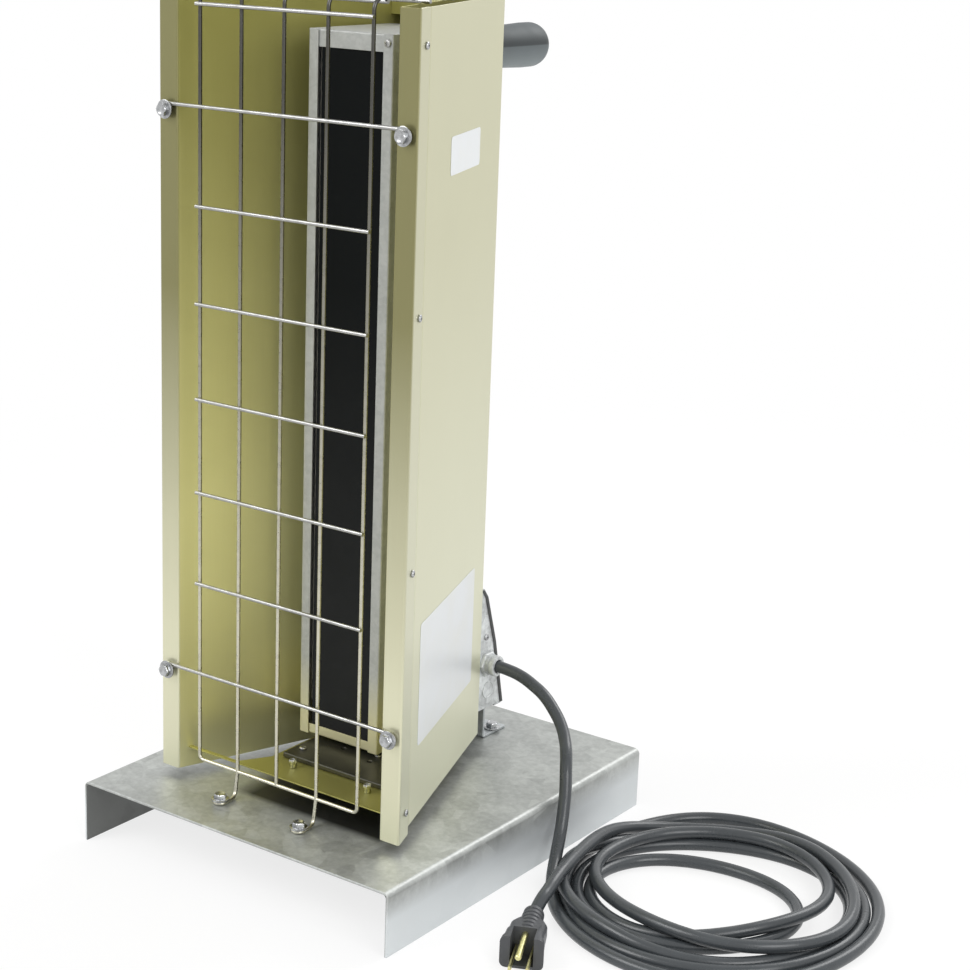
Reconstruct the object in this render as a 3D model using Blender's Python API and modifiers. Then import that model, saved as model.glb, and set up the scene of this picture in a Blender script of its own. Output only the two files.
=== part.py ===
"""Portable infrared heater: a gold reflector tower with a flat panel emitter, on a bent sheet base.

Metres, +Z up, front towards -Y. Pieces are laid out about the middle of the base plate, and the
heater's empty then moves them all so that the origin is under the middle of the whole heater.
"""

import math

import bmesh
import bpy
from mathutils import Matrix, Vector

# clearances and drawing steps
SEAT_GAP = 0.0003
HOLE_CLEARANCE = 0.0004
OVERRUN = 0.004
MERGE = 0.00001
ROUND_STEPS = 16
SMALL_STEPS = 10
HEX_SIDES = 6
ROUTE_STEPS = 12

# base plate, a sheet folded down at both sides
BASE_WIDTH = 0.3048
BASE_DEPTH = 0.346
BASE_HEIGHT = 0.0508
BASE_SHEET = 0.002
BASE_BEND = 0.004

# tower: front and rear corners in plan, and its heights above the floor
TOWER_FRONT_HALF = 0.1201
TOWER_REAR_HALF = 0.0478
TOWER_FRONT = -0.1184
TOWER_DEPTH = 0.2028
TOWER_LIFT = 0.0072
TOWER_HEIGHT = 0.6086
POST_WIDTH = 0.0182
RETURN_DEPTH = 0.0220
COVER_INSET = 0.0065
SHEET = 0.0010
SHEET_BEND = 0.0012
JOGGLE = 0.0014
TAB_START = 0.0060
REAR_FLANGE = 0.0120
SIDE_SCREW_BACK = 0.0138
SIDE_SCREW_FOOT = 0.0212
SIDE_SCREW_TOP = 0.0252
SIDE_SCREW_COUNT = 4
REAR_COVER_HALF = 0.0462
TOP_CAP_DROP = 0.0080
TOP_CAP_LIP = 0.0100

# small fasteners: shank radius, head radius, head height and shank length
PAN_SHANK = 0.0016
PAN_HEAD = 0.0032
PAN_HEIGHT = 0.0018
PAN_LENGTH = 0.0070
PAN_CROWN_SHARE = 0.6
PAN_EDGE_SHARE = 0.5
HEX_SHANK = 0.0025
HEX_HEAD = 0.0052
HEX_HEIGHT = 0.0038
HEX_LENGTH = 0.0110
WASHER_RADIUS = 0.0072
WASHER_HEIGHT = 0.0012

# wire guard
WIRE = 0.0030
WIRE_BITE = 0.0004
WIRE_PITCH = 0.03975
WIRES_EACH_SIDE = 2
ROW_COUNT = 9
LONG_ROWS = (1, 7)
FIRST_ROW_RISE = 0.0144
LAST_ROW_DROP = 0.0078
FOOT_HOOK_TURN = math.radians(135)
POST_HOOK_TURN = math.radians(126)
HOOK_STEPS = 6
GUARD_CORNER = 0.0040
GUARD_TOP_BEND = 0.0080
GUARD_TOP_RUN = 0.0160
GUARD_SIDE_OVERHANG = 0.0020
GUARD_SCREW_INSET = 0.0097
FOOT_SCREW_OUT = 0.0170
FOOT_SCREW_SHIFT = 0.0021
TOP_GUARD_LENGTH = 0.1560
TOP_GUARD_BARS = 3
TOP_BAR_REST = 0.0090

# emitter: a flat black panel in a sheet frame
EMITTER_HALF = 0.0395
EMITTER_SETBACK = 0.0754
EMITTER_RISE = 0.0260
EMITTER_DROP = 0.0253
FRAME_SHEET = 0.0010
FRAME_SIDE_FLANGE = 0.0090
FRAME_TOP_FLANGE = 0.0130
FRAME_BOTTOM_FLANGE = 0.0080
FACE_HALF = 0.0286
FACE_THICKNESS = 0.0020
FACE_END_MARGIN = 0.0030
ELEMENT_RADIUS = 0.0032
ELEMENT_RUNS = 4
ELEMENT_PITCH = 0.0136
ELEMENT_END_MARGIN = 0.0150
ELEMENT_END_RISE = 0.0300
PIN_RISE_IN_FRAME = 0.0160
PIN_BEND = 0.0080
BOARD_RISE = 0.0080
FRAME_SCREW_LENGTH = 0.0040
BOARD_MARGIN = 0.0015
BRACKET_HALF = 0.0260
BRACKET_SHEET = 0.0015
BRACKET_END_MARGIN = 0.0200

# bottom panel and the cover plate on it
PANEL_TOP_RISE = 0.0172
PANEL_FRONT_SETBACK = 0.0084
PANEL_LIP = 0.0040
PANEL_LEFT = 0.0350
PANEL_FLARE = 0.0140
PANEL_FLARE_DEPTH = 0.0280
PANEL_DEPTH = 0.1480
PLATE_LEFT = 0.0270
PLATE_SETBACK = 0.0404
PLATE_DEPTH = 0.0560
PLATE_HEIGHT = 0.0042
PLATE_SHEET = 0.0012
PLATE_SOLID_END = 0.0240
PLATE_SCREW_SHARE = 0.8
STANDOFF_SPAN = 0.0740
STANDOFF_LEFT = 0.0080
STANDOFF_RADIUS = 0.0034
STANDOFF_HEIGHT = 0.0066
STANDOFF_STEP = 0.0066
STANDOFF_NECK_HEIGHT_SHARE = 0.6
STANDOFF_NECK_RADIUS_SHARE = 0.8
PLATE_SCREW_IN = 0.0080
PLATE_SCREW_BACK = 0.0150

# junction box on the back
BOX_HALF = 0.0450
BOX_FOOT_RISE = 0.0240
BOX_SHEET = 0.0012
BOX_DEPTH = 0.0361
BOX_HEIGHT = 0.1060
BOX_TOP_DEPTH = 0.0040
BOX_SHOULDER_DEPTH = 0.0095
BOX_SHOULDER_HEIGHT = 0.0985
BOX_KNEE_DEPTH = 0.0230
BOX_KNEE_HEIGHT = 0.0570
BOX_COVER_LIP = 0.0110
CORD_HOLE_BACK = 0.0116
CORD_HOLE_RISE = 0.0403
CONNECTOR_BARREL = 0.0088
CONNECTOR_NECK = 0.0075
CONNECTOR_FLANGE = 0.0112
CONNECTOR_FLANGE_WIDTH = 0.0030
CONNECTOR_OUT = 0.0120
CONNECTOR_IN = 0.0070
LOCKNUT_RADIUS = 0.0102
LOCKNUT_WIDTH = 0.0030

# rear bracket to the base
REAR_BRACKET_HALF = 0.0390
REAR_BRACKET_SHEET = 0.0020
REAR_BRACKET_START = 0.0040
REAR_BRACKET_WEB = 0.0206
REAR_BRACKET_FOOT = 0.0315
REAR_BRACKET_BEND = 0.0030
REAR_BOLT_X = 0.0340
REAR_BOLT_BACK = 0.0391

# tip-over switch: a plunger that the floor holds up, its spring and the switch body
PLUNGER_RADIUS = 0.0030
PLUNGER_BACK = 0.0121
PLUNGER_TRAVEL = 0.0080
COLLAR_RADIUS = 0.0055
COLLAR_HEIGHT = 0.0025
SPRING_WIRE = 0.0004
SPRING_RADIUS = 0.0043
SPRING_TURNS = 5
SPRING_POINTS = 10
SPRING_ROOM = 0.0200
PLUNGER_REACH = 0.0120
SWITCH_HALF = 0.0090
SWITCH_FRONT = 0.0060
SWITCH_HEIGHT = 0.0220

# terminal block and the leads inside
TERMINAL_HALF = 0.0280
TERMINAL_DEPTH = 0.0085
TERMINAL_HEIGHT = 0.0150
TERMINAL_RISE = 0.0700
TERMINAL_WELL = 0.0040
LEAD_RADIUS = 0.0022
LEAD_RISE = 0.0940
LEAD_SETBACK = 0.0240
LEAD_RUN = 0.0187
BOARD_LEAD_ROOM = 0.0230

# handle: a tube out of the back with a thick grip
HANDLE_DROP = 0.0446
HANDLE_TUBE = 0.0110
HANDLE_TUBE_WALL = 0.0020
HANDLE_FLANGE = 0.0230
HANDLE_FLANGE_SHEET = 0.0030
HANDLE_NECK = 0.0140
GRIP_LENGTH = 0.1028
GRIP_RADIUS = 0.0150
GRIP_END_RADIUS = 0.0179
GRIP_CROWN = 0.0140
GRIP_WALL = 0.0040
GRIP_TAPER = 0.0760
GRIP_STEPS = 24
CROWN_STEPS = 4

# cord: one tube from the box to the plug, with its coil on the floor
CORD = 0.0100
CORD_SIDES = 2
COIL_CENTRE = (0.2900, 0.0660)
COIL_RADIUS = 0.1240
COIL_TURN_STEP = 0.0107
COIL_LAYER_STEP = 0.0106
COIL_TURNS_IN = 3.5
COIL_TURNS_OUT = 2.49
COIL_CLIMB_TURNS = 0.5
COIL_START = 209
COIL_POINTS_PER_TURN = 24
FLOOR_GAP = 0.0003
LEAD_ROUTE = (
    (0.0750, 0.0971, 0.1211),
    (0.0900, 0.0954, 0.1173),
    (0.1070, 0.0907, 0.1121),
    (0.1220, 0.0856, 0.1026),
    (0.1350, 0.0784, 0.0924),
    (0.1460, 0.0665, 0.0834),
    (0.1530, 0.0565, 0.0766),
    (0.1600, 0.0465, 0.0557),
    (0.1610, 0.0432, 0.0340),
    (0.1660, 0.0340, 0.0158),
)
TAIL_ROUTE = (
    (0.1970, -0.0080, 0.0157),
    (0.2024, -0.0300, 0.0150),
    (0.2056, -0.0480, 0.0136),
)
PLUG_REAR = (0.2084, -0.0662, 0.0126)
PLUG_HEADING = (0.43, -0.90)
PLUG_RELIEF = 0.0260
PLUG_RIBS = 4
PLUG_RIB_DEPTH = 0.0012
PLUG_NECK = 0.0066
PLUG_BODY = 0.0380
PLUG_REAR_HALF = 0.0095
PLUG_FRONT_HALF = 0.0160
PLUG_HALF_HEIGHT = 0.0122
PLUG_FRONT_RIM = 0.0060
PLUG_MID_HALF = 0.0142
PLUG_SHOULDER = 0.0110
PLUG_REAR_SHARE = 0.75
PLUG_CORNER = 0.0035
BLADE_LENGTH = 0.0175
BLADE_WIDTH = 0.0063
BLADE_THICKNESS = 0.0015
BLADE_SPACING = 0.0127
BLADE_DROP = 0.0055
BLADE_SINK = 0.0060
PIN_RADIUS = 0.0024
PIN_RISE = 0.0060
PIN_LENGTH_OUT = 0.0195

# heights and places that follow from the sizes above
BASE_TOP = BASE_HEIGHT
TOWER_BOTTOM = BASE_TOP + TOWER_LIFT
TOWER_TOP = TOWER_BOTTOM + TOWER_HEIGHT
COVER_BOTTOM = TOWER_BOTTOM + COVER_INSET
TOWER_REAR = TOWER_FRONT + TOWER_DEPTH
SLANT = Vector((TOWER_REAR_HALF - TOWER_FRONT_HALF, TOWER_DEPTH)).normalized()
OUTWARD = Vector((SLANT.y, -SLANT.x))
SLANT_LENGTH = math.hypot(TOWER_FRONT_HALF - TOWER_REAR_HALF, TOWER_DEPTH)
INNER_FRONT_HALF = TOWER_FRONT_HALF - POST_WIDTH
EMITTER_FRONT = TOWER_FRONT + EMITTER_SETBACK
EMITTER_BOTTOM = TOWER_BOTTOM + EMITTER_RISE
EMITTER_TOP = TOWER_TOP - EMITTER_DROP
BACK_FACE = TOWER_REAR + SEAT_GAP + SHEET
BOX_BACK = BACK_FACE + SEAT_GAP
BOX_BOTTOM = TOWER_BOTTOM + BOX_FOOT_RISE
GUARD_ROW_Y = TOWER_FRONT - SEAT_GAP - WIRE / 2
GUARD_COLUMN_Y = GUARD_ROW_Y + WIRE - WIRE_BITE
FIRST_ROW = TOWER_BOTTOM + FIRST_ROW_RISE
ROW_PITCH = (TOWER_TOP - LAST_ROW_DROP - FIRST_ROW) / (ROW_COUNT - 1)
TOP_BAR_Z = TOWER_TOP + SEAT_GAP + WIRE / 2
GUARD_TOP_Z = TOP_BAR_Z + WIRE - WIRE_BITE
PANEL_TOP = TOWER_BOTTOM + PANEL_TOP_RISE
PANEL_FRONT = TOWER_FRONT + PANEL_FRONT_SETBACK
FOOT_SCREW_Y = TOWER_FRONT - FOOT_SCREW_OUT
PLUNGER_Y = BOX_BACK + PLUNGER_BACK
REAR_BOLT_Y = BOX_BACK + REAR_BOLT_BACK
CORD_HOLE_Y = BOX_BACK + CORD_HOLE_BACK
CORD_HOLE_Z = BOX_BOTTOM + CORD_HOLE_RISE
LEAD_Z = BOX_BOTTOM + LEAD_RISE
PIN_Z = EMITTER_BOTTOM + PIN_RISE_IN_FRAME
PIN_X = ELEMENT_PITCH * (ELEMENT_RUNS - 1) / 2
PLUG_ALONG = Vector((*PLUG_HEADING, 0)).normalized()
HANDLE_Z = TOWER_TOP - HANDLE_DROP
HANDLE_END = BACK_FACE + SEAT_GAP + HANDLE_NECK + GRIP_LENGTH
COIL_Z = CORD / 2 + FLOOR_GAP
MIDDLE_Y = (HANDLE_END - BASE_DEPTH / 2) / 2

GOLD = ("gold_anodised", (0.62, 0.58, 0.30, 1), 0.35, 0.9)
PALE_GOLD = ("pale_gold_cover", (0.66, 0.66, 0.50, 1), 0.45, 0.6)
GALVANISED = ("galvanised", (0.55, 0.57, 0.57, 1), 0.4, 0.8)
ZINC = ("bright_zinc", (0.7, 0.7, 0.68, 1), 0.25, 1.0)
BLACK_PANEL = ("black_panel", (0.015, 0.016, 0.018, 1), 0.5, 0.0)
DARK_PLATE = ("dark_plate", (0.12, 0.12, 0.10, 1), 0.4, 0.5)
STEEL = ("steel", (0.5, 0.5, 0.5, 1), 0.3, 1.0)
BOARD = ("insulation", (0.8, 0.78, 0.7, 1), 0.9, 0.0)
BLACK_PLASTIC = ("black_plastic", (0.05, 0.055, 0.06, 1), 0.5, 0.0)
GREY_RUBBER = ("grey_rubber", (0.10, 0.11, 0.12, 1), 0.45, 0.0)
CORD_JACKET = ("cord_jacket", (0.06, 0.065, 0.07, 1), 0.45, 0.0)
BRASS = ("brass", (0.75, 0.68, 0.35, 1), 0.3, 1.0)


def start_scene():
    """Remove what the file opened with, and make the two collections and the heater's empty."""
    for old in list(bpy.data.objects):
        bpy.data.objects.remove(old)
    made = []
    for name in ("infrared_heater", "cutters"):
        collection = bpy.data.collections.new(name)
        bpy.context.scene.collection.children.link(collection)
        made.append(collection)
    root = bpy.data.objects.new("heater_root", None)
    root.location = (0, -MIDDLE_Y, 0)
    made[0].objects.link(root)
    return made[0], made[1], root


HEATER, CUTTERS, ROOT = start_scene()


def material(finish):
    """The material of a finish, made the first time it is asked for."""
    name, colour, roughness, metallic = finish
    if name in bpy.data.materials:
        return bpy.data.materials[name]
    made = bpy.data.materials.new(name)
    made.use_nodes = True
    shader = made.node_tree.nodes["Principled BSDF"]
    shader.inputs["Base Color"].default_value = colour
    shader.inputs["Roughness"].default_value = roughness
    shader.inputs["Metallic"].default_value = metallic
    return made


def add(name, data, finish, smooth=False):
    """A piece of the heater from a mesh or a curve."""
    piece = bpy.data.objects.new(name, data)
    HEATER.objects.link(piece)
    piece.parent = ROOT
    if not data.materials:
        data.materials.append(material(finish))
    if smooth and piece.type == "MESH":
        data.shade_smooth()
        data.set_sharp_from_angle(angle=math.radians(40))
    return piece


def add_cutter(name, data):
    """A guide that cuts other pieces and isn't built itself."""
    cutter = bpy.data.objects.new(name, data)
    CUTTERS.objects.link(cutter)
    cutter.parent = ROOT
    cutter.hide_render = True
    cutter.display_type = "WIRE"
    return cutter


def mesh_of(build):
    """A mesh from a function that fills a bmesh."""
    work = bmesh.new()
    build(work)
    mesh = bpy.data.meshes.new("shape")
    work.to_mesh(mesh)
    work.free()
    return mesh


def put_box(work, low, high):
    """Add a box between two corners to a bmesh."""
    low, high = Vector(low), Vector(high)
    spread = Matrix.Diagonal((*(high - low), 1))
    bmesh.ops.create_cube(work, size=1, matrix=Matrix.Translation((low + high) / 2) @ spread)


def put_rod(work, start, end, radius, sides=SMALL_STEPS, end_radius=None):
    """Add a cylinder or a cone between two points to a bmesh."""
    start, end = Vector(start), Vector(end)
    along = end - start
    turn = along.to_track_quat("Z", "Y").to_matrix().to_4x4()
    bmesh.ops.create_cone(
        work,
        cap_ends=True,
        segments=sides,
        radius1=radius,
        radius2=radius if end_radius is None else end_radius,
        depth=along.length,
        matrix=Matrix.Translation((start + end) / 2) @ turn,
    )


def block(name, low, high, finish):
    """A box-shaped piece between two corners."""
    return add(name, mesh_of(lambda work: put_box(work, low, high)), finish)


def cut(piece, shapes, name):
    """Cut a piece with the boxes and rods that shapes adds to a bmesh."""
    cutter = add_cutter(name, mesh_of(shapes))
    hole = piece.modifiers.new(name, "BOOLEAN")
    hole.operation = "DIFFERENCE"
    hole.object = cutter
    return piece


def folded_sheet(name, profile, place, low, high, finish, thickness=SHEET, bend=SHEET_BEND):
    """A folded sheet: a line of points, placed by a function, drawn out from low to high.

    The sheet's thickness lies to the right of the line's direction of travel.
    """

    def build(work):
        rows = [[work.verts.new(place(*point, level)) for point in profile] for level in (low, high)]
        for (a, b), (c, d) in zip(zip(rows[0], rows[0][1:]), zip(rows[1], rows[1][1:])):
            work.faces.new((a, b, d, c))

    piece = add(name, mesh_of(build), finish)
    if bend:
        folds = piece.modifiers.new("folds", "BEVEL")
        folds.width = bend
        folds.segments = 2
    walls = piece.modifiers.new("walls", "SOLIDIFY")
    walls.thickness = thickness
    walls.offset = -1 if place is plan_mirrored else 1
    walls.use_even_offset = True
    return piece


def plan(x, y, z):
    """A profile drawn in plan and drawn out upwards."""
    return (x, y, z)


def plan_mirrored(x, y, z):
    """The same profile on the heater's other side."""
    return (-x, y, z)


def section(y, z, x):
    """A profile drawn in the side view and drawn out across the heater."""
    return (x, y, z)


def turned_mesh(profile, steps):
    """A turned solid about Z, from a profile of radius and height that runs from top to bottom."""

    def build(work):
        line = [work.verts.new((radius, 0, height)) for radius, height in profile]
        for a, b in zip(line, line[1:]):
            work.edges.new((a, b))

    blank = bpy.data.objects.new("blank", mesh_of(build))
    HEATER.objects.link(blank)
    lathe = blank.modifiers.new("lathe", "SCREW")
    lathe.steps = steps
    lathe.render_steps = steps
    lathe.use_merge_vertices = True
    lathe.merge_threshold = MERGE
    return baked(blank)


def baked(piece):
    """The mesh that a piece evaluates to, with the piece itself removed."""
    bpy.context.view_layer.update()
    shown = piece.evaluated_get(bpy.context.evaluated_depsgraph_get())
    mesh = bpy.data.meshes.new_from_object(shown)
    bpy.data.objects.remove(piece)
    work = bmesh.new()
    work.from_mesh(mesh)
    bmesh.ops.remove_doubles(work, verts=work.verts, dist=MERGE)
    work.to_mesh(mesh)
    work.free()
    return mesh


def fused(meshes):
    """One mesh that is the union of several closed ones."""
    first = bpy.data.objects.new("fused", meshes[0])
    HEATER.objects.link(first)
    others = bpy.data.collections.new("fused_others")
    for mesh in meshes[1:]:
        other = bpy.data.objects.new("fused_other", mesh)
        others.objects.link(other)
    bpy.context.scene.collection.children.link(others)
    join = first.modifiers.new("join", "BOOLEAN")
    join.operation = "UNION"
    join.operand_type = "COLLECTION"
    join.collection = others
    mesh = baked(first)
    for other in list(others.objects):
        bpy.data.objects.remove(other)
    bpy.data.collections.remove(others)
    return mesh


def tube_curve(points, radius, resolution):
    """A tube with filled caps that follows points."""
    curve = bpy.data.curves.new("tube", "CURVE")
    curve.dimensions = "3D"
    curve.bevel_depth = radius
    curve.bevel_resolution = resolution
    curve.use_fill_caps = True
    line = curve.splines.new("POLY")
    line.points.add(len(points) - 1)
    for point, place in zip(line.points, points):
        point.co = (*place, 1)
    return curve


def tube_mesh(points, radius, resolution=2):
    """The closed mesh of such a tube."""
    tube = bpy.data.objects.new("tube", tube_curve(points, radius, resolution))
    HEATER.objects.link(tube)
    return baked(tube)


def arc(centre, start, turn, axis, steps=4):
    """Points of an arc from start about centre, by turn radians about axis."""
    centre, arm = Vector(centre), Vector(start) - Vector(centre)
    return [centre + Matrix.Rotation(turn * k / steps, 3, axis) @ arm for k in range(steps + 1)]


def rounded_route(corners, radius, steps=4):
    """A line through corners, with every bend rounded to a radius."""
    corners = [Vector(corner) for corner in corners]
    route = [corners[0]]
    for before, corner, after in zip(corners, corners[1:], corners[2:]):
        back = (before - corner).normalized()
        ahead = (after - corner).normalized()
        opening = back.angle(ahead)
        start = corner + back * radius / math.tan(opening / 2)
        centre = corner + (back + ahead).normalized() * radius / math.sin(opening / 2)
        route += arc(centre, start, math.pi - opening, ahead.cross(back), steps)
    return [*route, corners[-1]]


def smooth_route(points, spacing):
    """Points about spacing apart along a smooth curve through the given ones."""
    points = [Vector(p) for p in points]
    ends = [2 * points[0] - points[1], *points, 2 * points[-1] - points[-2]]
    fine = []
    for a, b, c, d in zip(ends, ends[1:], ends[2:], ends[3:]):
        square = 2 * a - 5 * b + 4 * c - d
        cube = 3 * b - a - 3 * c + d
        for k in range(ROUTE_STEPS):
            t = k / ROUTE_STEPS
            fine.append((2 * b + (c - a) * t + square * t**2 + cube * t**3) / 2)
    fine.append(points[-1])
    runs = [(b - a).length for a, b in zip(fine, fine[1:])]
    count = max(1, round(sum(runs) / spacing))
    route, done, passed = [fine[0]], 0, 0.0
    for k in range(1, count):
        target = sum(runs) * k / count
        while passed + runs[done] < target:
            passed += runs[done]
            done += 1
        route.append(fine[done].lerp(fine[done + 1], (target - passed) / runs[done]))
    return [*route, fine[-1]]


def pan_screw_mesh(length=PAN_LENGTH):
    """A pan head screw, its head up and its seat at height zero."""
    crown = PAN_HEAD * PAN_CROWN_SHARE
    profile = (
        (0, PAN_HEIGHT),
        (crown, PAN_HEIGHT),
        (PAN_HEAD, PAN_HEIGHT * PAN_EDGE_SHARE),
        (PAN_HEAD, 0),
        (PAN_SHANK, 0),
        (PAN_SHANK, -length),
        (0, -length),
    )
    return turned_mesh(profile, SMALL_STEPS)


def hex_screw_mesh(length=HEX_LENGTH):
    """A hexagon screw with its washer, the washer's seat at height zero."""
    washer = turned_mesh(
        (
            (0, WASHER_HEIGHT),
            (WASHER_RADIUS, WASHER_HEIGHT),
            (WASHER_RADIUS, 0),
            (HEX_SHANK, 0),
            (HEX_SHANK, -length),
            (0, -length),
        ),
        ROUND_STEPS,
    )
    top = WASHER_HEIGHT + HEX_HEIGHT
    foot = (0, 0, WASHER_HEIGHT / 2)
    head = mesh_of(lambda work: put_rod(work, foot, (0, 0, top), HEX_HEAD, HEX_SIDES))
    return fused([washer, head])


def place_fastener(name, mesh, finish, where, towards):
    """A fastener whose head faces towards, with its seat at where."""
    piece = add(name, mesh, finish)
    piece.location = where
    piece.rotation_mode = "QUATERNION"
    piece.rotation_quaternion = Vector(towards).to_track_quat("Z", "Y")
    return piece


def on_slant(along, inset, half=TOWER_FRONT_HALF):
    """A point of the right wall in plan: its distance back from the front corner and its inset."""
    corner = Vector((half, TOWER_FRONT))
    return corner + SLANT * along - OUTWARD * inset


def wall_x(y):
    """The inner face of the right reflector wall at a depth."""
    return INNER_FRONT_HALF + SLANT.x / SLANT.y * (y - TOWER_FRONT)


def depth_where_wall_is(x):
    """The depth at which the inner face of the right reflector wall is x from the middle."""
    return TOWER_FRONT + (x - INNER_FRONT_HALF) * SLANT.y / SLANT.x


EMITTER_REAR = depth_where_wall_is(EMITTER_HALF + SEAT_GAP)
LEAD_DROP_Y = EMITTER_REAR - LEAD_SETBACK
PIN_END = LEAD_DROP_Y - LEAD_RUN
BOARD_REAR = LEAD_DROP_Y - LEAD_RADIUS - BOARD_LEAD_ROOM
GUARD_SCREW_X = TOWER_FRONT_HALF - GUARD_SCREW_INSET
GUARD_COLUMNS = [k * WIRE_PITCH for k in range(-WIRES_EACH_SIDE, WIRES_EACH_SIDE + 1)]
GUARD_ROWS = [FIRST_ROW + k * ROW_PITCH for k in range(ROW_COUNT)]
HOOK_RADIUS = HEX_SHANK + SEAT_GAP + WIRE / 2
GUARD_SCREW_ROWS = [GUARD_ROWS[k] - HOOK_RADIUS for k in LONG_ROWS]
FOOT_SCREWS = [x - FOOT_SCREW_SHIFT for x in (GUARD_COLUMNS[1], GUARD_COLUMNS[-2])]
GUARD_SCREW_SEAT = GUARD_ROW_Y - WIRE / 2 - SEAT_GAP
FOOT_WIRE_Z = BASE_TOP + SEAT_GAP + WIRE / 2
FOOT_SCREW_SEAT = FOOT_WIRE_Z + WIRE / 2 + SEAT_GAP
FIRST_SIDE_SCREW = TOWER_BOTTOM + SIDE_SCREW_FOOT
SIDE_SCREW_PITCH = (TOWER_TOP - SIDE_SCREW_TOP - FIRST_SIDE_SCREW) / (SIDE_SCREW_COUNT - 1)
SIDE_SCREW_HEIGHTS = [FIRST_SIDE_SCREW + k * SIDE_SCREW_PITCH for k in range(SIDE_SCREW_COUNT)]


def make_base():
    """The base, a sheet folded down at both sides, with holes for the screws, bolts and plunger."""
    half = BASE_WIDTH / 2
    profile = ((-half, 0), (-half, BASE_TOP), (half, BASE_TOP), (half, 0))
    base = folded_sheet(
        "base_plate",
        profile,
        lambda x, z, y: (x, y, z),
        BASE_DEPTH / 2,
        -BASE_DEPTH / 2,
        GALVANISED,
        BASE_SHEET,
        BASE_BEND,
    )

    def holes(work):
        below, above = BASE_TOP - BASE_SHEET - OVERRUN, BASE_TOP + OVERRUN
        radius = HEX_SHANK + HOLE_CLEARANCE
        for x in FOOT_SCREWS:
            put_rod(work, (x, FOOT_SCREW_Y, below), (x, FOOT_SCREW_Y, above), radius)
        for x in (-REAR_BOLT_X, REAR_BOLT_X):
            put_rod(work, (x, REAR_BOLT_Y, below), (x, REAR_BOLT_Y, above), radius)
        radius = PLUNGER_RADIUS + HOLE_CLEARANCE
        put_rod(work, (0, PLUNGER_Y, below), (0, PLUNGER_Y, above), radius, ROUND_STEPS)

    cut(base, holes, "base_holes")


def make_reflector(side, sign, place):
    """One side of the reflector: inner wall, post face and the return that takes the side screws."""
    back = TOWER_REAR - SHEET - SEAT_GAP
    line = [
        tuple(on_slant(RETURN_DEPTH, 0)),
        (TOWER_FRONT_HALF, TOWER_FRONT),
        (INNER_FRONT_HALF, TOWER_FRONT),
        (wall_x(back), back),
    ]
    sheet = folded_sheet(f"reflector_{side}", line, place, TOWER_BOTTOM, TOWER_TOP, GOLD)

    def holes(work):
        x = sign * GUARD_SCREW_X
        for z in GUARD_SCREW_ROWS:
            start, end = (x, TOWER_FRONT - OVERRUN, z), (x, TOWER_FRONT + OVERRUN, z)
            put_rod(work, start, end, HEX_SHANK + HOLE_CLEARANCE)
        for z in SIDE_SCREW_HEIGHTS:
            put_side_hole(work, sign, z)

    cut(sheet, holes, f"reflector_{side}_holes")


def put_side_hole(work, sign, z):
    """The hole of one side screw, square to the slanted wall."""
    out = on_slant(SIDE_SCREW_BACK, -OVERRUN)
    inside = on_slant(SIDE_SCREW_BACK, OVERRUN)
    put_rod(work, (sign * out.x, out.y, z), (sign * inside.x, inside.y, z), PAN_SHANK + HOLE_CLEARANCE)


def make_side_cover(side, sign, place, screw):
    """An outer cover, with a joggled tab behind the reflector's return and a rear flange, and its screws."""
    inset = SHEET + SEAT_GAP
    rear = on_slant(SLANT_LENGTH, 0)
    line = [
        (rear.x - REAR_FLANGE, TOWER_REAR),
        tuple(rear),
        tuple(on_slant(RETURN_DEPTH + JOGGLE + SEAT_GAP, 0)),
        tuple(on_slant(RETURN_DEPTH + SEAT_GAP, inset)),
        tuple(on_slant(TAB_START, inset)),
    ]
    cover = folded_sheet(f"side_cover_{side}", line, place, COVER_BOTTOM, TOWER_TOP, PALE_GOLD, bend=0)

    def holes(work):
        for z in SIDE_SCREW_HEIGHTS:
            put_side_hole(work, sign, z)

    cut(cover, holes, f"side_cover_{side}_holes")
    seat = on_slant(SIDE_SCREW_BACK, -SEAT_GAP)
    for k, z in enumerate(SIDE_SCREW_HEIGHTS):
        where = (sign * seat.x, seat.y, z)
        place_fastener(f"side_screw_{side}_{k + 1}", screw, ZINC, where, (sign * OUTWARD.x, OUTWARD.y, 0))


def make_rear_cover():
    """The back cover, and the cap over the space behind the emitter."""
    front = TOWER_REAR + SEAT_GAP
    cover = block(
        "rear_cover",
        (-REAR_COVER_HALF, front, COVER_BOTTOM),
        (REAR_COVER_HALF, BACK_FACE, TOWER_TOP),
        PALE_GOLD,
    )
    cut(cover, lambda work: put_lead_holes(work, front, BACK_FACE), "rear_cover_holes")
    cap_z = TOWER_TOP - TOP_CAP_DROP
    near, far = EMITTER_REAR + SEAT_GAP, TOWER_REAR

    def cap(work):
        corners = [
            (-wall_x(near) + SEAT_GAP, near),
            (wall_x(near) - SEAT_GAP, near),
            (wall_x(far) - SEAT_GAP, far),
            (-wall_x(far) + SEAT_GAP, far),
        ]
        face = work.faces.new([work.verts.new((x, y, cap_z)) for x, y in corners])
        grown = bmesh.ops.extrude_face_region(work, geom=[face])
        moved = [v for v in grown["geom"] if isinstance(v, bmesh.types.BMVert)]
        bmesh.ops.translate(work, verts=moved, vec=(0, 0, -TOP_CAP_LIP))
        bmesh.ops.recalc_face_normals(work, faces=work.faces)

    top = add("rear_top_cap", mesh_of(cap), GOLD)

    def pocket(work):
        half = wall_x(far) - SEAT_GAP - SHEET
        low = cap_z - TOP_CAP_LIP - OVERRUN
        put_box(work, (-half, near + SHEET, low), (half, far - SHEET, cap_z - SHEET))

    cut(top, pocket, "rear_top_cap_pocket")


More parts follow.
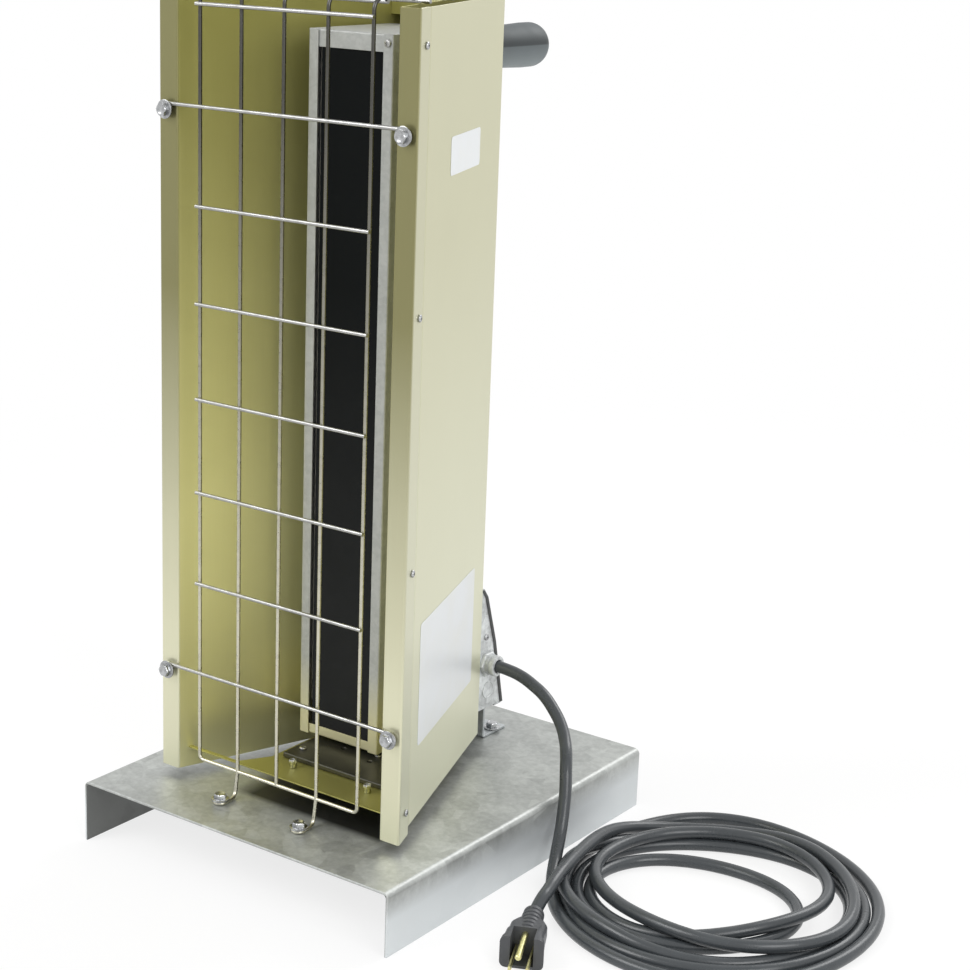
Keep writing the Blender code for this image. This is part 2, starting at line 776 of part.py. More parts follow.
def make_guard():
    """The welded wire guard in front, with two feet hooked round the screws of the base."""
    first, last = GUARD_COLUMNS[0], GUARD_COLUMNS[-1]
    ends = (first - GUARD_SIDE_OVERHANG, last + GUARD_SIDE_OVERHANG)
    tubes = [outer_loop(first, last)]
    tubes += [inner_column(x) for x in GUARD_COLUMNS[1:-1]]
    for k, z in enumerate(GUARD_ROWS[1:], 1):
        row = long_row(z) if k in LONG_ROWS else tube_mesh([(x, GUARD_ROW_Y, z) for x in ends], WIRE / 2)
        tubes.append(row)
    back = GUARD_COLUMN_Y + GUARD_TOP_RUN - WIRE
    tubes.append(tube_mesh([(x, back, TOP_BAR_Z) for x in ends], WIRE / 2))
    add("wire_guard", fused(tubes), ZINC)


def over_the_top(x, z_from):
    """A column's upper end: it bends back over the top edge of the tower."""
    centre = (x, GUARD_COLUMN_Y + GUARD_TOP_BEND, GUARD_TOP_Z - GUARD_TOP_BEND)
    start = (x, GUARD_COLUMN_Y, GUARD_TOP_Z - GUARD_TOP_BEND)
    bend = arc(centre, start, -math.pi / 2, "X")
    end = Vector((x, GUARD_COLUMN_Y + GUARD_TOP_RUN, GUARD_TOP_Z))
    return [Vector((x, GUARD_COLUMN_Y, z_from)), *bend, end]


def outer_loop(first, last):
    """The two outer columns and the bottom row, bent from one wire with rounded corners."""
    z, r = GUARD_ROWS[0], GUARD_CORNER
    y = GUARD_COLUMN_Y
    left = over_the_top(first, z + r)
    right = over_the_top(last, z + r)
    corner_left = arc((first + r, y, z + r), (first, y, z + r), -math.pi / 2, "Y")
    corner_right = arc((last - r, y, z + r), (last - r, y, z), -math.pi / 2, "Y")
    return tube_mesh([*reversed(left[1:]), *corner_left, *corner_right, *right[1:]], WIRE / 2)


def put_lead_holes(work, front, back):
    """The two holes of the leads through a sheet that lies between two depths."""
    for x in (-PIN_X, PIN_X):
        start, end = (x, front - OVERRUN, LEAD_Z), (x, back + OVERRUN, LEAD_Z)
        put_rod(work, start, end, LEAD_RADIUS + HOLE_CLEARANCE)


def inner_column(x):
    """A middle column. All but the centre one run on below the guard to a foot."""
    if abs(x) < WIRE:
        return tube_mesh(over_the_top(x, GUARD_ROWS[0]), WIRE / 2)
    screw = Vector((x - FOOT_SCREW_SHIFT, FOOT_SCREW_Y, FOOT_WIRE_Z))
    side = screw + Vector((HOOK_RADIUS, 2 * HOOK_RADIUS, 0))
    hook = arc(screw, screw + Vector((HOOK_RADIUS, 0, 0)), -FOOT_HOOK_TURN, "Z", HOOK_STEPS)
    drop = Vector((x, GUARD_COLUMN_Y, GUARD_ROWS[0]))
    floor = Vector((x, GUARD_COLUMN_Y - WIRE, FOOT_WIRE_Z))
    bend = rounded_route([drop, floor, side], 2 * WIRE)
    return tube_mesh([*reversed(hook), *reversed(bend), *over_the_top(x, GUARD_ROWS[1])], WIRE / 2)


def long_row(z):
    """A row that reaches both posts and hooks over their screws."""
    screw_z = z - HOOK_RADIUS
    start = (GUARD_SCREW_X, GUARD_ROW_Y, z)
    right = arc((GUARD_SCREW_X, GUARD_ROW_Y, screw_z), start, POST_HOOK_TURN, "Y", HOOK_STEPS)
    left = [Vector((-p.x, p.y, p.z)) for p in reversed(right)]
    return tube_mesh([*left, *right], WIRE / 2)


def make_top_guard():
    """The grille over the open top, from the guard's bent ends back to the rear cap."""
    start = GUARD_COLUMN_Y + GUARD_TOP_RUN + SEAT_GAP
    end = start + TOP_GUARD_LENGTH
    knee = start + TOP_GUARD_LENGTH / 2
    z = GUARD_TOP_Z
    tubes = [tube_mesh([(x, start, z), (x, end, z)], WIRE / 2) for x in GUARD_COLUMNS[1:-1]]
    for x, tucked in ((GUARD_COLUMNS[0], GUARD_COLUMNS[1]), (GUARD_COLUMNS[-1], GUARD_COLUMNS[-2])):
        near = tucked + math.copysign(2 * WIRE, x)
        tubes.append(tube_mesh([(x, start, z), (x, knee, z), (near, end, z)], WIRE / 2))
    for k in range(TOP_GUARD_BARS):
        y = start + TOP_GUARD_LENGTH * (k + 0.5) / TOP_GUARD_BARS
        reach = wall_x(y) + TOP_BAR_REST
        tubes.append(tube_mesh([(-reach, y, TOP_BAR_Z), (reach, y, TOP_BAR_Z)], WIRE / 2))
    add("top_guard", fused(tubes), ZINC)


def make_guard_screws():
    """The screws that hold the guard to the posts and its feet to the base."""
    mesh = hex_screw_mesh()
    for side, sign, foot in (("left", -1, FOOT_SCREWS[0]), ("right", 1, FOOT_SCREWS[1])):
        for level, z in zip(("lower", "upper"), GUARD_SCREW_ROWS):
            where = (sign * GUARD_SCREW_X, GUARD_SCREW_SEAT, z)
            place_fastener(f"guard_screw_{side}_{level}", mesh, ZINC, where, (0, -1, 0))
        where = (foot, FOOT_SCREW_Y, FOOT_SCREW_SEAT)
        place_fastener(f"guard_foot_screw_{side}", mesh, ZINC, where, (0, 0, 1))


def make_emitter_frame():
    """The emitter's two side channels, top and bottom channels and back, and the screw at the top."""
    y0, y1 = EMITTER_FRONT, EMITTER_REAR
    half, flange = EMITTER_HALF, FRAME_SIDE_FLANGE
    low, high = EMITTER_BOTTOM, EMITTER_TOP
    screw_x, screw_z = half - flange / 2, high - FRAME_TOP_FLANGE / 2

    def hole(work):
        radius = PAN_SHANK + HOLE_CLEARANCE
        put_rod(work, (screw_x, y0 - OVERRUN, screw_z), (screw_x, y0 + OVERRUN, screw_z), radius)

    outer = [(half, y1), (half, y0), (half - flange, y0)]
    right = folded_sheet("frame_right", outer, plan, low, high, GALVANISED, FRAME_SHEET, 0)
    cut(right, hole, "frame_right_hole")
    folded_sheet("frame_left", outer, plan_mirrored, low, high, GALVANISED, FRAME_SHEET, 0)
    inner = half - FRAME_SHEET - SEAT_GAP
    front = y0 + FRAME_SHEET + SEAT_GAP
    back = y1 - FRAME_SHEET - SEAT_GAP
    lid_line = [(front, high - FRAME_TOP_FLANGE), (front, high), (back, high)]
    lid = folded_sheet("frame_top", lid_line, section, -inner, inner, GALVANISED, FRAME_SHEET, 0)
    cut(lid, hole, "frame_top_hole")
    floor_line = [(back, low), (front, low), (front, low + FRAME_BOTTOM_FLANGE)]
    folded_sheet("frame_bottom", floor_line, section, -inner, inner, GALVANISED, FRAME_SHEET, 0)
    rear = block("frame_back", (-inner, y1 - FRAME_SHEET, low), (inner, y1, high), GALVANISED)
    cut(rear, lambda work: put_lead_holes(work, y1 - FRAME_SHEET, y1), "frame_back_holes")
    where = (screw_x, y0 - SEAT_GAP, screw_z)
    place_fastener("frame_screw_right", pan_screw_mesh(FRAME_SCREW_LENGTH), STEEL, where, (0, -1, 0))


def make_emitter_core():
    """The black face, the sheathed element behind it, and the insulation behind that."""
    front = EMITTER_FRONT + 2 * (FRAME_SHEET + SEAT_GAP)
    low, high = EMITTER_BOTTOM + FACE_END_MARGIN, EMITTER_TOP - FACE_END_MARGIN
    face_back = front + FACE_THICKNESS
    block("emitter_face", (-FACE_HALF, front, low), (FACE_HALF, face_back, high), BLACK_PANEL)
    y = face_back + SEAT_GAP + ELEMENT_RADIUS
    bottom, top = PIN_Z + ELEMENT_END_RISE, high - ELEMENT_END_MARGIN
    columns = [(k - (ELEMENT_RUNS - 1) / 2) * ELEMENT_PITCH for k in range(ELEMENT_RUNS)]
    first, last = columns[0], columns[-1]
    points = rounded_route([(first, PIN_END, PIN_Z), (first, y, PIN_Z), (first, y, bottom)], PIN_BEND)
    for k, (a, b) in enumerate(zip(columns, columns[1:])):
        z, turn = (bottom, -math.pi) if k % 2 else (top, math.pi)
        points += arc(((a + b) / 2, y, z), (a, y, z), turn, "Y", 6)
    points += rounded_route([(last, y, bottom), (last, y, PIN_Z), (last, PIN_END, PIN_Z)], PIN_BEND)
    add("heating_element", tube_mesh(points, ELEMENT_RADIUS), STEEL, smooth=True)
    board_front = y + ELEMENT_RADIUS + SEAT_GAP
    half = EMITTER_HALF - FRAME_SHEET - SEAT_GAP - BOARD_MARGIN
    block(
        "insulation_board",
        (-half, board_front, PIN_Z + BOARD_RISE),
        (half, BOARD_REAR, EMITTER_TOP - 2 * BOARD_MARGIN),
        BOARD,
    )


def make_emitter_bracket():
    """The channel that carries the emitter on the back cover."""
    near, far = EMITTER_REAR + SEAT_GAP, TOWER_REAR
    half = BRACKET_HALF
    line = [(-half, near), (-half, far), (half, far), (half, near)]
    low, high = EMITTER_BOTTOM + BRACKET_END_MARGIN, EMITTER_TOP - BRACKET_END_MARGIN
    bracket = folded_sheet("emitter_bracket", line, plan, low, high, GALVANISED, BRACKET_SHEET, 0)
    cut(bracket, lambda work: put_lead_holes(work, far - BRACKET_SHEET, far), "emitter_bracket_holes")


def make_bottom_panel():
    """The gold panel under the emitter: a narrow lip from wall to wall, open at the left behind it."""
    front, lip = PANEL_FRONT, PANEL_FRONT + PANEL_LIP
    back = front + PANEL_DEPTH
    flare = front + PANEL_FLARE_DEPTH
    gap = SEAT_GAP
    outline = [
        (-wall_x(front) + gap, front),
        (wall_x(front) - gap, front),
        (wall_x(back) - gap, back),
        (-PANEL_LEFT + gap, back),
        (-PANEL_LEFT, flare),
        (-PANEL_LEFT - PANEL_FLARE, lip),
        (-wall_x(lip) + gap, lip),
    ]
    flat_plate("bottom_panel", outline, PANEL_TOP - SHEET, PANEL_TOP, GOLD)


def flat_plate(name, outline, low, high, finish, holes=()):
    """A flat sheet from an outline in plan, with round holes as (x, y, radius)."""
    curve = bpy.data.curves.new(name, "CURVE")
    curve.dimensions = "2D"
    curve.fill_mode = "BOTH"
    curve.extrude = (high - low) / 2
    rings = [outline]
    for x, y, radius in holes:
        turns = [2 * math.pi * k / SMALL_STEPS for k in range(SMALL_STEPS)]
        rings.append([(x + radius * math.cos(t), y + radius * math.sin(t)) for t in turns])
    for ring in rings:
        line = curve.splines.new("POLY")
        line.points.add(len(ring) - 1)
        for point, (x, y) in zip(line.points, ring):
            point.co = (x, y, 0, 1)
        line.use_cyclic_u = True
    blank = bpy.data.objects.new("blank", curve)
    HEATER.objects.link(blank)
    plate = add(name, baked(blank), finish)
    plate.location = (0, 0, (low + high) / 2)
    return plate


def make_wiring_plate():
    """The dark cover plate on the bottom panel, with its two standoffs and a screw."""
    front = TOWER_FRONT + PLATE_SETBACK
    back = front + PLATE_DEPTH
    bottom = PANEL_TOP + SEAT_GAP
    top = bottom + PLATE_HEIGHT
    gap = SEAT_GAP + SHEET_BEND
    left = -PLATE_LEFT
    screw_x, screw_y = left + PLATE_SCREW_IN, front + PLATE_SCREW_BACK
    outline = [(left, front), (wall_x(front) - gap, front), (wall_x(back) - gap, back), (left, back)]
    plate = flat_plate(
        "wiring_plate", outline, bottom, top, DARK_PLATE, [(screw_x, screw_y, PAN_SHANK + HOLE_CLEARANCE)]
    )

    def hollow(work):
        wall = PLATE_SHEET
        put_box(
            work,
            (left + PLATE_SOLID_END, front + wall, bottom - OVERRUN),
            (wall_x(back) - gap - wall, back - wall, top - wall),
        )

    cut(plate, hollow, "wiring_plate_hollow")
    mesh = pan_screw_mesh(PLATE_HEIGHT * PLATE_SCREW_SHARE)
    place_fastener("wiring_plate_screw", mesh, STEEL, (screw_x, screw_y, top + SEAT_GAP), (0, 0, 1))
    neck_top = STANDOFF_HEIGHT * STANDOFF_NECK_HEIGHT_SHARE
    neck = STANDOFF_RADIUS * STANDOFF_NECK_RADIUS_SHARE
    standoff = turned_mesh(
        (
            (0, STANDOFF_HEIGHT),
            (STANDOFF_RADIUS, STANDOFF_HEIGHT),
            (STANDOFF_RADIUS, neck_top),
            (neck, neck_top),
            (neck, 0),
            (0, 0),
        ),
        HEX_SIDES,
    )
    y = front - STANDOFF_RADIUS - STANDOFF_STEP
    for side, x in (("left", -STANDOFF_LEFT), ("right", -STANDOFF_LEFT + STANDOFF_SPAN)):
        place_fastener(f"plate_standoff_{side}", standoff, ZINC, (x, y, PANEL_TOP + SEAT_GAP), (0, 0, 1))


def wedge(outline, low, high):
    """A solid from a side outline, drawn out across the heater."""

    def build(work):
        face = work.faces.new([work.verts.new((low, y, z)) for y, z in outline])
        grown = bmesh.ops.extrude_face_region(work, geom=[face])
        moved = [v for v in grown["geom"] if isinstance(v, bmesh.types.BMVert)]
        bmesh.ops.translate(work, verts=moved, vec=(high - low, 0, 0))
        bmesh.ops.recalc_face_normals(work, faces=work.faces)

    return mesh_of(build)


def box_line(grow):
    """The open side of the junction box in the side view, from its top to its foot, moved out by grow."""
    y, z = BOX_BACK, BOX_BOTTOM
    return [
        (y + BOX_TOP_DEPTH + grow / 2, z + BOX_HEIGHT + grow),
        (y + BOX_SHOULDER_DEPTH + grow, z + BOX_SHOULDER_HEIGHT + grow / 2),
        (y + BOX_KNEE_DEPTH + grow, z + BOX_KNEE_HEIGHT),
        (y + BOX_DEPTH + grow, z - grow),
    ]


def make_junction_box():
    """The wedge-shaped box on the back, open at its sloping face, and the cover that closes it."""
    y, z = BOX_BACK, BOX_BOTTOM
    wall = BOX_SHEET
    outline = [(y, z + BOX_HEIGHT), *box_line(0), (y, z)]
    box = add("junction_box", wedge(outline, -BOX_HALF, BOX_HALF), GALVANISED)
    top, floor = z + BOX_HEIGHT - wall, z + wall
    hollow = [
        (y + wall, top),
        (y + BOX_TOP_DEPTH + 2 * OVERRUN, top),
        (y + BOX_SHOULDER_DEPTH + 2 * OVERRUN, z + BOX_SHOULDER_HEIGHT - wall),
        (y + BOX_KNEE_DEPTH + 2 * OVERRUN, z + BOX_KNEE_HEIGHT),
        (y + BOX_DEPTH + 2 * OVERRUN, floor),
        (y + wall, floor),
    ]
    cavity = add_cutter("junction_box_cavity", wedge(hollow, -BOX_HALF + wall, BOX_HALF - wall))
    opened = box.modifiers.new("cavity", "BOOLEAN")
    opened.operation = "DIFFERENCE"
    opened.object = cavity

    def holes(work):
        inside, outside = BOX_HALF - wall - OVERRUN, BOX_HALF + OVERRUN
        radius = CONNECTOR_NECK + HOLE_CLEARANCE
        start, end = (inside, CORD_HOLE_Y, CORD_HOLE_Z), (outside, CORD_HOLE_Y, CORD_HOLE_Z)
        put_rod(work, start, end, radius, ROUND_STEPS)
        radius = PLUNGER_RADIUS + HOLE_CLEARANCE
        put_rod(work, (0, PLUNGER_Y, z - OVERRUN), (0, PLUNGER_Y, floor + OVERRUN), radius, ROUND_STEPS)
        put_lead_holes(work, y, y + wall)

    cut(box, holes, "junction_box_holes")
    line = box_line(SEAT_GAP)
    foot_y, foot_z = line[-1]
    lid = [(foot_y - BOX_COVER_LIP, foot_z), *reversed(line), (y, z + BOX_HEIGHT + SEAT_GAP)]
    folded_sheet("box_cover", lid, section, -BOX_HALF, BOX_HALF, GALVANISED, BOX_SHEET, 0)


def make_cord_entry():
    """The cord's connector in the box's right side, and its locknut inside."""
    bore = CORD / 2 + HOLE_CLEARANCE
    inner = -BOX_SHEET - CONNECTOR_IN
    connector = turned_mesh(
        (
            (bore, CONNECTOR_OUT),
            (CONNECTOR_BARREL, CONNECTOR_OUT),
            (CONNECTOR_BARREL, SEAT_GAP + CONNECTOR_FLANGE_WIDTH),
            (CONNECTOR_FLANGE, SEAT_GAP + CONNECTOR_FLANGE_WIDTH),
            (CONNECTOR_FLANGE, SEAT_GAP),
            (CONNECTOR_NECK, SEAT_GAP),
            (CONNECTOR_NECK, inner),
            (bore, inner),
            (bore, CONNECTOR_OUT),
        ),
        ROUND_STEPS,
    )
    where = (BOX_HALF, CORD_HOLE_Y, CORD_HOLE_Z)
    place_fastener("cord_connector", connector, ZINC, where, (1, 0, 0))
    top = -BOX_SHEET - SEAT_GAP
    hole = CONNECTOR_NECK + HOLE_CLEARANCE
    ring = turned_mesh(
        (
            (hole, top),
            (LOCKNUT_RADIUS, top),
            (LOCKNUT_RADIUS, top - LOCKNUT_WIDTH),
            (hole, top - LOCKNUT_WIDTH),
            (hole, top),
        ),
        ROUND_STEPS,
    )
    place_fastener("connector_locknut", ring, ZINC, where, (1, 0, 0))


def make_rear_bracket():
    """The Z-shaped bracket between the junction box's floor and the base, and its two bolts."""
    foot = BASE_TOP + SEAT_GAP + REAR_BRACKET_SHEET
    web = BOX_BACK + REAR_BRACKET_WEB
    line = [
        (BOX_BACK + REAR_BRACKET_START, BOX_BOTTOM - SEAT_GAP),
        (web, BOX_BOTTOM - SEAT_GAP),
        (web, foot),
        (web + REAR_BRACKET_FOOT, foot),
    ]
    half = REAR_BRACKET_HALF
    bracket = folded_sheet(
        "rear_bracket", line, section, -half, half, GALVANISED, REAR_BRACKET_SHEET, REAR_BRACKET_BEND
    )

    def holes(work):
        low, high = foot - REAR_BRACKET_SHEET - OVERRUN, foot + OVERRUN
        for x in (-REAR_BOLT_X, REAR_BOLT_X):
            put_rod(work, (x, REAR_BOLT_Y, low), (x, REAR_BOLT_Y, high), HEX_SHANK + HOLE_CLEARANCE)
        low, high = BOX_BOTTOM - REAR_BRACKET_SHEET - OVERRUN, BOX_BOTTOM + OVERRUN
        radius = PLUNGER_RADIUS + HOLE_CLEARANCE
        put_rod(work, (0, PLUNGER_Y, low), (0, PLUNGER_Y, high), radius, ROUND_STEPS)

    cut(bracket, holes, "rear_bracket_holes")
    mesh = hex_screw_mesh()
    for side, x in (("left", -REAR_BOLT_X), ("right", REAR_BOLT_X)):
        place_fastener(f"bracket_bolt_{side}", mesh, ZINC, (x, REAR_BOLT_Y, foot + SEAT_GAP), (0, 0, 1))


def make_tip_switch():
    """The tip-over switch: a plunger that the floor holds up, its spring, and the switch body."""
    y = PLUNGER_Y
    collar_low = BOX_BOTTOM + BOX_SHEET + SEAT_GAP + PLUNGER_TRAVEL
    collar_high = collar_low + COLLAR_HEIGHT
    body_low = collar_high + SPRING_ROOM
    top = body_low + PLUNGER_REACH
    tip = PLUNGER_RADIUS / 2
    plunger = turned_mesh(
        (
            (0, top),
            (PLUNGER_RADIUS, top),
            (PLUNGER_RADIUS, collar_high),
            (COLLAR_RADIUS, collar_high),
            (COLLAR_RADIUS, collar_low),
            (PLUNGER_RADIUS, collar_low),
            (PLUNGER_RADIUS, SEAT_GAP + tip),
            (tip, SEAT_GAP),
            (0, SEAT_GAP),
        ),
        ROUND_STEPS,
    )
    rod = add("tip_plunger", plunger, BLACK_PLASTIC, smooth=True)
    rod.location = (0, y, 0)
    low = collar_high + SEAT_GAP + SPRING_WIRE
    rise = body_low - SEAT_GAP - SPRING_WIRE - low
    count = SPRING_TURNS * SPRING_POINTS
    coil = []
    for k in range(count + 1):
        angle = 2 * math.pi * k / SPRING_POINTS
        side, back = SPRING_RADIUS * math.cos(angle), SPRING_RADIUS * math.sin(angle)
        coil.append((side, y + back, low + rise * k / count))
    add("plunger_spring", tube_mesh(coil, SPRING_WIRE, 1), STEEL, smooth=True)
    back = BOX_BACK + BOX_SHEET + SEAT_GAP
    case = block(
        "tip_switch",
        (-SWITCH_HALF, back, body_low),
        (SWITCH_HALF, y + SWITCH_FRONT, body_low + SWITCH_HEIGHT),
        BLACK_PLASTIC,
    )

    def bore(work):
        radius = PLUNGER_RADIUS + HOLE_CLEARANCE
        put_rod(work, (0, y, body_low - OVERRUN), (0, y, top + SEAT_GAP), radius, ROUND_STEPS)

    cut(case, bore, "tip_switch_bore")


def make_terminals():
    """The terminal block in the box, and the two leads that run from it to the element's pins."""
    back = BOX_BACK + BOX_SHEET + SEAT_GAP
    low = BOX_BOTTOM + TERMINAL_RISE
    high = low + TERMINAL_HEIGHT
    front = back + TERMINAL_DEPTH
    half = TERMINAL_HALF
    terminal = block("terminal_block", (-half, back, low), (half, front, high), BLACK_PLASTIC)

    def wells(work):
        z = (low + high) / 2
        for x in (-PIN_X, 0, PIN_X):
            put_rod(work, (x, front - TERMINAL_WELL, z), (x, front + OVERRUN, z), PAN_HEAD)

    cut(terminal, wells, "terminal_wells")
    y = back + TERMINAL_DEPTH / 2
    for side, x in (("left", -PIN_X), ("right", PIN_X)):
        corners = [
            (x, y, high + SEAT_GAP),
            (x, y, LEAD_Z),
            (x, LEAD_DROP_Y, LEAD_Z),
            (x, LEAD_DROP_Y, PIN_Z),
            (x, PIN_END + SEAT_GAP, PIN_Z),
        ]
        lead = tube_mesh(rounded_route(corners, 2 * LEAD_RADIUS), LEAD_RADIUS)
        add(f"emitter_lead_{side}", lead, BLACK_PLASTIC, smooth=True)


def make_handle():
    """The handle: a tube with a flange on the back cover, and a thick grip with a rounded end."""
    y0 = BACK_FACE + SEAT_GAP
    flange = HANDLE_FLANGE_SHEET
    bore = HANDLE_TUBE - HANDLE_TUBE_WALL
    near, far = HANDLE_NECK, HANDLE_NECK + GRIP_LENGTH
    tube_end = far - GRIP_WALL - SEAT_GAP
    tube = turned_mesh(
        (
            (bore, tube_end),
            (HANDLE_TUBE, tube_end),
            (HANDLE_TUBE, flange),
            (HANDLE_FLANGE, flange),
            (HANDLE_FLANGE, 0),
            (bore, 0),
            (bore, tube_end),
        ),
        ROUND_STEPS,
    )
    place_fastener("handle_tube", tube, STEEL, (0, y0, HANDLE_Z), (0, 1, 0))
    inside = HANDLE_TUBE + SEAT_GAP
    flat = GRIP_END_RADIUS - GRIP_CROWN
    quarter = [math.pi / 2 * k / CROWN_STEPS for k in range(CROWN_STEPS + 1)]
    crown = [(flat + GRIP_CROWN * math.sin(t), far - GRIP_CROWN * (1 - math.cos(t))) for t in quarter]
    grip = turned_mesh(
        (
            (0, far),
            *crown,
            (GRIP_END_RADIUS, near + GRIP_TAPER),
            (GRIP_RADIUS, near),
            (inside, near),
            (inside, far - GRIP_WALL),
            (0, far - GRIP_WALL),
        ),
        GRIP_STEPS,
    )
    place_fastener("handle_grip", grip, GREY_RUBBER, (0, y0, HANDLE_Z), (0, 1, 0))


def coil_place(turn):
    """A point of the coil's centreline after so many turns: in, up a layer, and out again."""
    inward = min(turn, COIL_TURNS_IN)
    outward = max(0.0, turn - COIL_TURNS_IN)
    climb = min(max((turn - COIL_TURNS_IN) / COIL_CLIMB_TURNS + 0.5, 0), 1)
    radius = COIL_RADIUS + COIL_TURN_STEP * (outward - inward)
    angle = math.radians(COIL_START) + 2 * math.pi * turn
    return Vector(
        (
            COIL_CENTRE[0] + radius * math.cos(angle),
            COIL_CENTRE[1] + radius * math.sin(angle),
            COIL_Z + COIL_LAYER_STEP * climb * climb * (3 - 2 * climb),
        )
    )


def coil_points():
    """The coil's points, with a straight run of one diameter at each end."""
    turns = COIL_TURNS_IN + COIL_TURNS_OUT
    count = round(turns * COIL_POINTS_PER_TURN)
    points = [coil_place(turns * k / count) for k in range(count + 1)]
    first = points[0] - (points[1] - points[0]).normalized() * CORD
    last = points[-1] + (points[-1] - points[-2]).normalized() * CORD
    return [first, *points, last]


def least_gap(points, skip):
    """The least gap of a tube to itself, measured between points that are not neighbours."""
    best = math.inf
    for i, a in enumerate(points):
        for b in points[i + skip :]:
            best = min(best, (a - b).length)
    return best - CORD


def make_cord():
    """The cord: the stretch that hangs from the box, the coil on the floor, and the tail to the plug."""
    coil = coil_points()
    gap = least_gap(coil, COIL_POINTS_PER_TURN // 2)
    print(f"least gap of the coil to itself: {gap * 1000:.2f} mm")
    add("cord_coil", tube_curve(coil, CORD / 2, 1), CORD_JACKET)
    inside = Vector((BOX_HALF - CORD, CORD_HOLE_Y, CORD_HOLE_Z))
    mouth = Vector((BOX_HALF + CONNECTOR_OUT, CORD_HOLE_Y, CORD_HOLE_Z))
    into = (coil[1] - coil[0]).normalized()
    lead_end = coil[0] - into * SEAT_GAP
    lead = [inside, *smooth_route([mouth, *LEAD_ROUTE, lead_end - into * CORD], 2 * CORD), lead_end]
    add("cord_lead", tube_curve(lead, CORD / 2, CORD_SIDES), CORD_JACKET)
    out = (coil[-1] - coil[-2]).normalized()
    tail_start = coil[-1] + out * SEAT_GAP
    tail_end = Vector(PLUG_REAR) - PLUG_ALONG * SEAT_GAP
    hanging = smooth_route([tail_start + out * CORD, *TAIL_ROUTE, tail_end - PLUG_ALONG * CORD], 2 * CORD)
    tail = [tail_start, *hanging, tail_end]
    add("cord_tail", tube_curve(tail, CORD / 2, CORD_SIDES), CORD_JACKET)
    total = sum((b - a).length for line in (lead, coil, tail) for a, b in zip(line, line[1:]))
    print(f"length of the cord: {total:.3f} m")


def make_plug():
    """The plug: a body with a ribbed neck, two blades, and the round pin above them."""
    ribs = []
    count = 2 * PLUG_RIBS
    for k in range(count + 1):
        radius = PLUG_NECK + (PLUG_REAR_HALF - PLUG_NECK) * k / count - (PLUG_RIB_DEPTH if k % 2 else 0)
        ribs.append((radius, PLUG_RELIEF * k / count))
    overlap = PLUG_RELIEF + OVERRUN
    neck = turned_mesh(((0, overlap), (PLUG_NECK, overlap), *reversed(ribs), (0, 0)), ROUND_STEPS)
    length = PLUG_RELIEF + PLUG_BODY
    stations = (
        (PLUG_RELIEF, PLUG_REAR_HALF, PLUG_HALF_HEIGHT * PLUG_REAR_SHARE),
        (PLUG_RELIEF + PLUG_SHOULDER, PLUG_MID_HALF, PLUG_HALF_HEIGHT),
        (length - PLUG_FRONT_RIM, PLUG_MID_HALF, PLUG_HALF_HEIGHT),
        (length, PLUG_FRONT_HALF, PLUG_HALF_HEIGHT),
    )

    def body(work):
        rings = []
        for z, x, y in stations:
            a, b = x - PLUG_CORNER, y - PLUG_CORNER
            ring = ((x, b), (a, y), (-a, y), (-x, b), (-x, -b), (-a, -y), (a, -y), (x, -b))
            rings.append([work.verts.new((*corner, z)) for corner in ring])
        for lower, upper in zip(rings, rings[1:]):
            for k in range(len(lower)):
                work.faces.new((lower[k - 1], lower[k], upper[k], upper[k - 1]))
        work.faces.new(reversed(rings[0]))
        work.faces.new(rings[-1])
        bmesh.ops.recalc_face_normals(work, faces=work.faces)

    plug = place_plug(add("plug_body", fused([neck, mesh_of(body)]), BLACK_PLASTIC))
    root = length - BLADE_SINK

    def put_blade(work, sign, grow, end):
        x, half = sign * BLADE_SPACING / 2, BLADE_THICKNESS / 2 + grow
        y, wide = -BLADE_DROP, BLADE_WIDTH / 2 + grow
        put_box(work, (x - half, y - wide, root - grow), (x + half, y + wide, end))

    def slots(work):
        for sign in (-1, 1):
            put_blade(work, sign, SEAT_GAP, length + OVERRUN)
        put_rod(work, (0, PIN_RISE, root - SEAT_GAP), (0, PIN_RISE, length + OVERRUN), PIN_RADIUS + SEAT_GAP)

    place_plug(cut(plug, slots, "plug_slots").modifiers["plug_slots"].object)
    for side, sign in (("left", -1), ("right", 1)):
        blade = mesh_of(lambda work, sign=sign: put_blade(work, sign, 0, length + BLADE_LENGTH))
        place_plug(add(f"plug_blade_{side}", blade, BRASS))
    start, end = (0, PIN_RISE, root), (0, PIN_RISE, length + PIN_LENGTH_OUT)
    pin = mesh_of(lambda work: put_rod(work, start, end, PIN_RADIUS))
    place_plug(add("plug_ground_pin", pin, BRASS))


def place_plug(piece):
    """Lay a plug piece on the floor: its length along the plug's heading and its round pin up."""
    up = Vector((0, 0, 1))
    turn = Matrix((up.cross(PLUG_ALONG), up, PLUG_ALONG)).transposed()
    piece.matrix_local = Matrix.Translation(PLUG_REAR) @ turn.to_4x4()
    return piece


def main():
    make_base()
    screw = pan_screw_mesh()
    for side, sign, place in (("left", -1, plan_mirrored), ("right", 1, plan)):
        make_reflector(side, sign, place)
        make_side_cover(side, sign, place, screw)
    make_rear_cover()
    make_guard()
    make_top_guard()
    make_guard_screws()
    make_emitter_frame()
    make_emitter_core()
    make_terminals()
    make_emitter_bracket()
    make_bottom_panel()
    make_wiring_plate()
    make_junction_box()
    make_cord_entry()
    make_rear_bracket()
    make_tip_switch()
    make_handle()
    make_cord()
    make_plug()


main()
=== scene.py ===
"""Looks of a portable infrared heater, as an add-on with one operator for each group of pieces.

Pieces are laid out about the middle of the base plate, in metres, and HOME then moves them to the
frame's origin, which is under the middle of the whole heater.
"""

import math

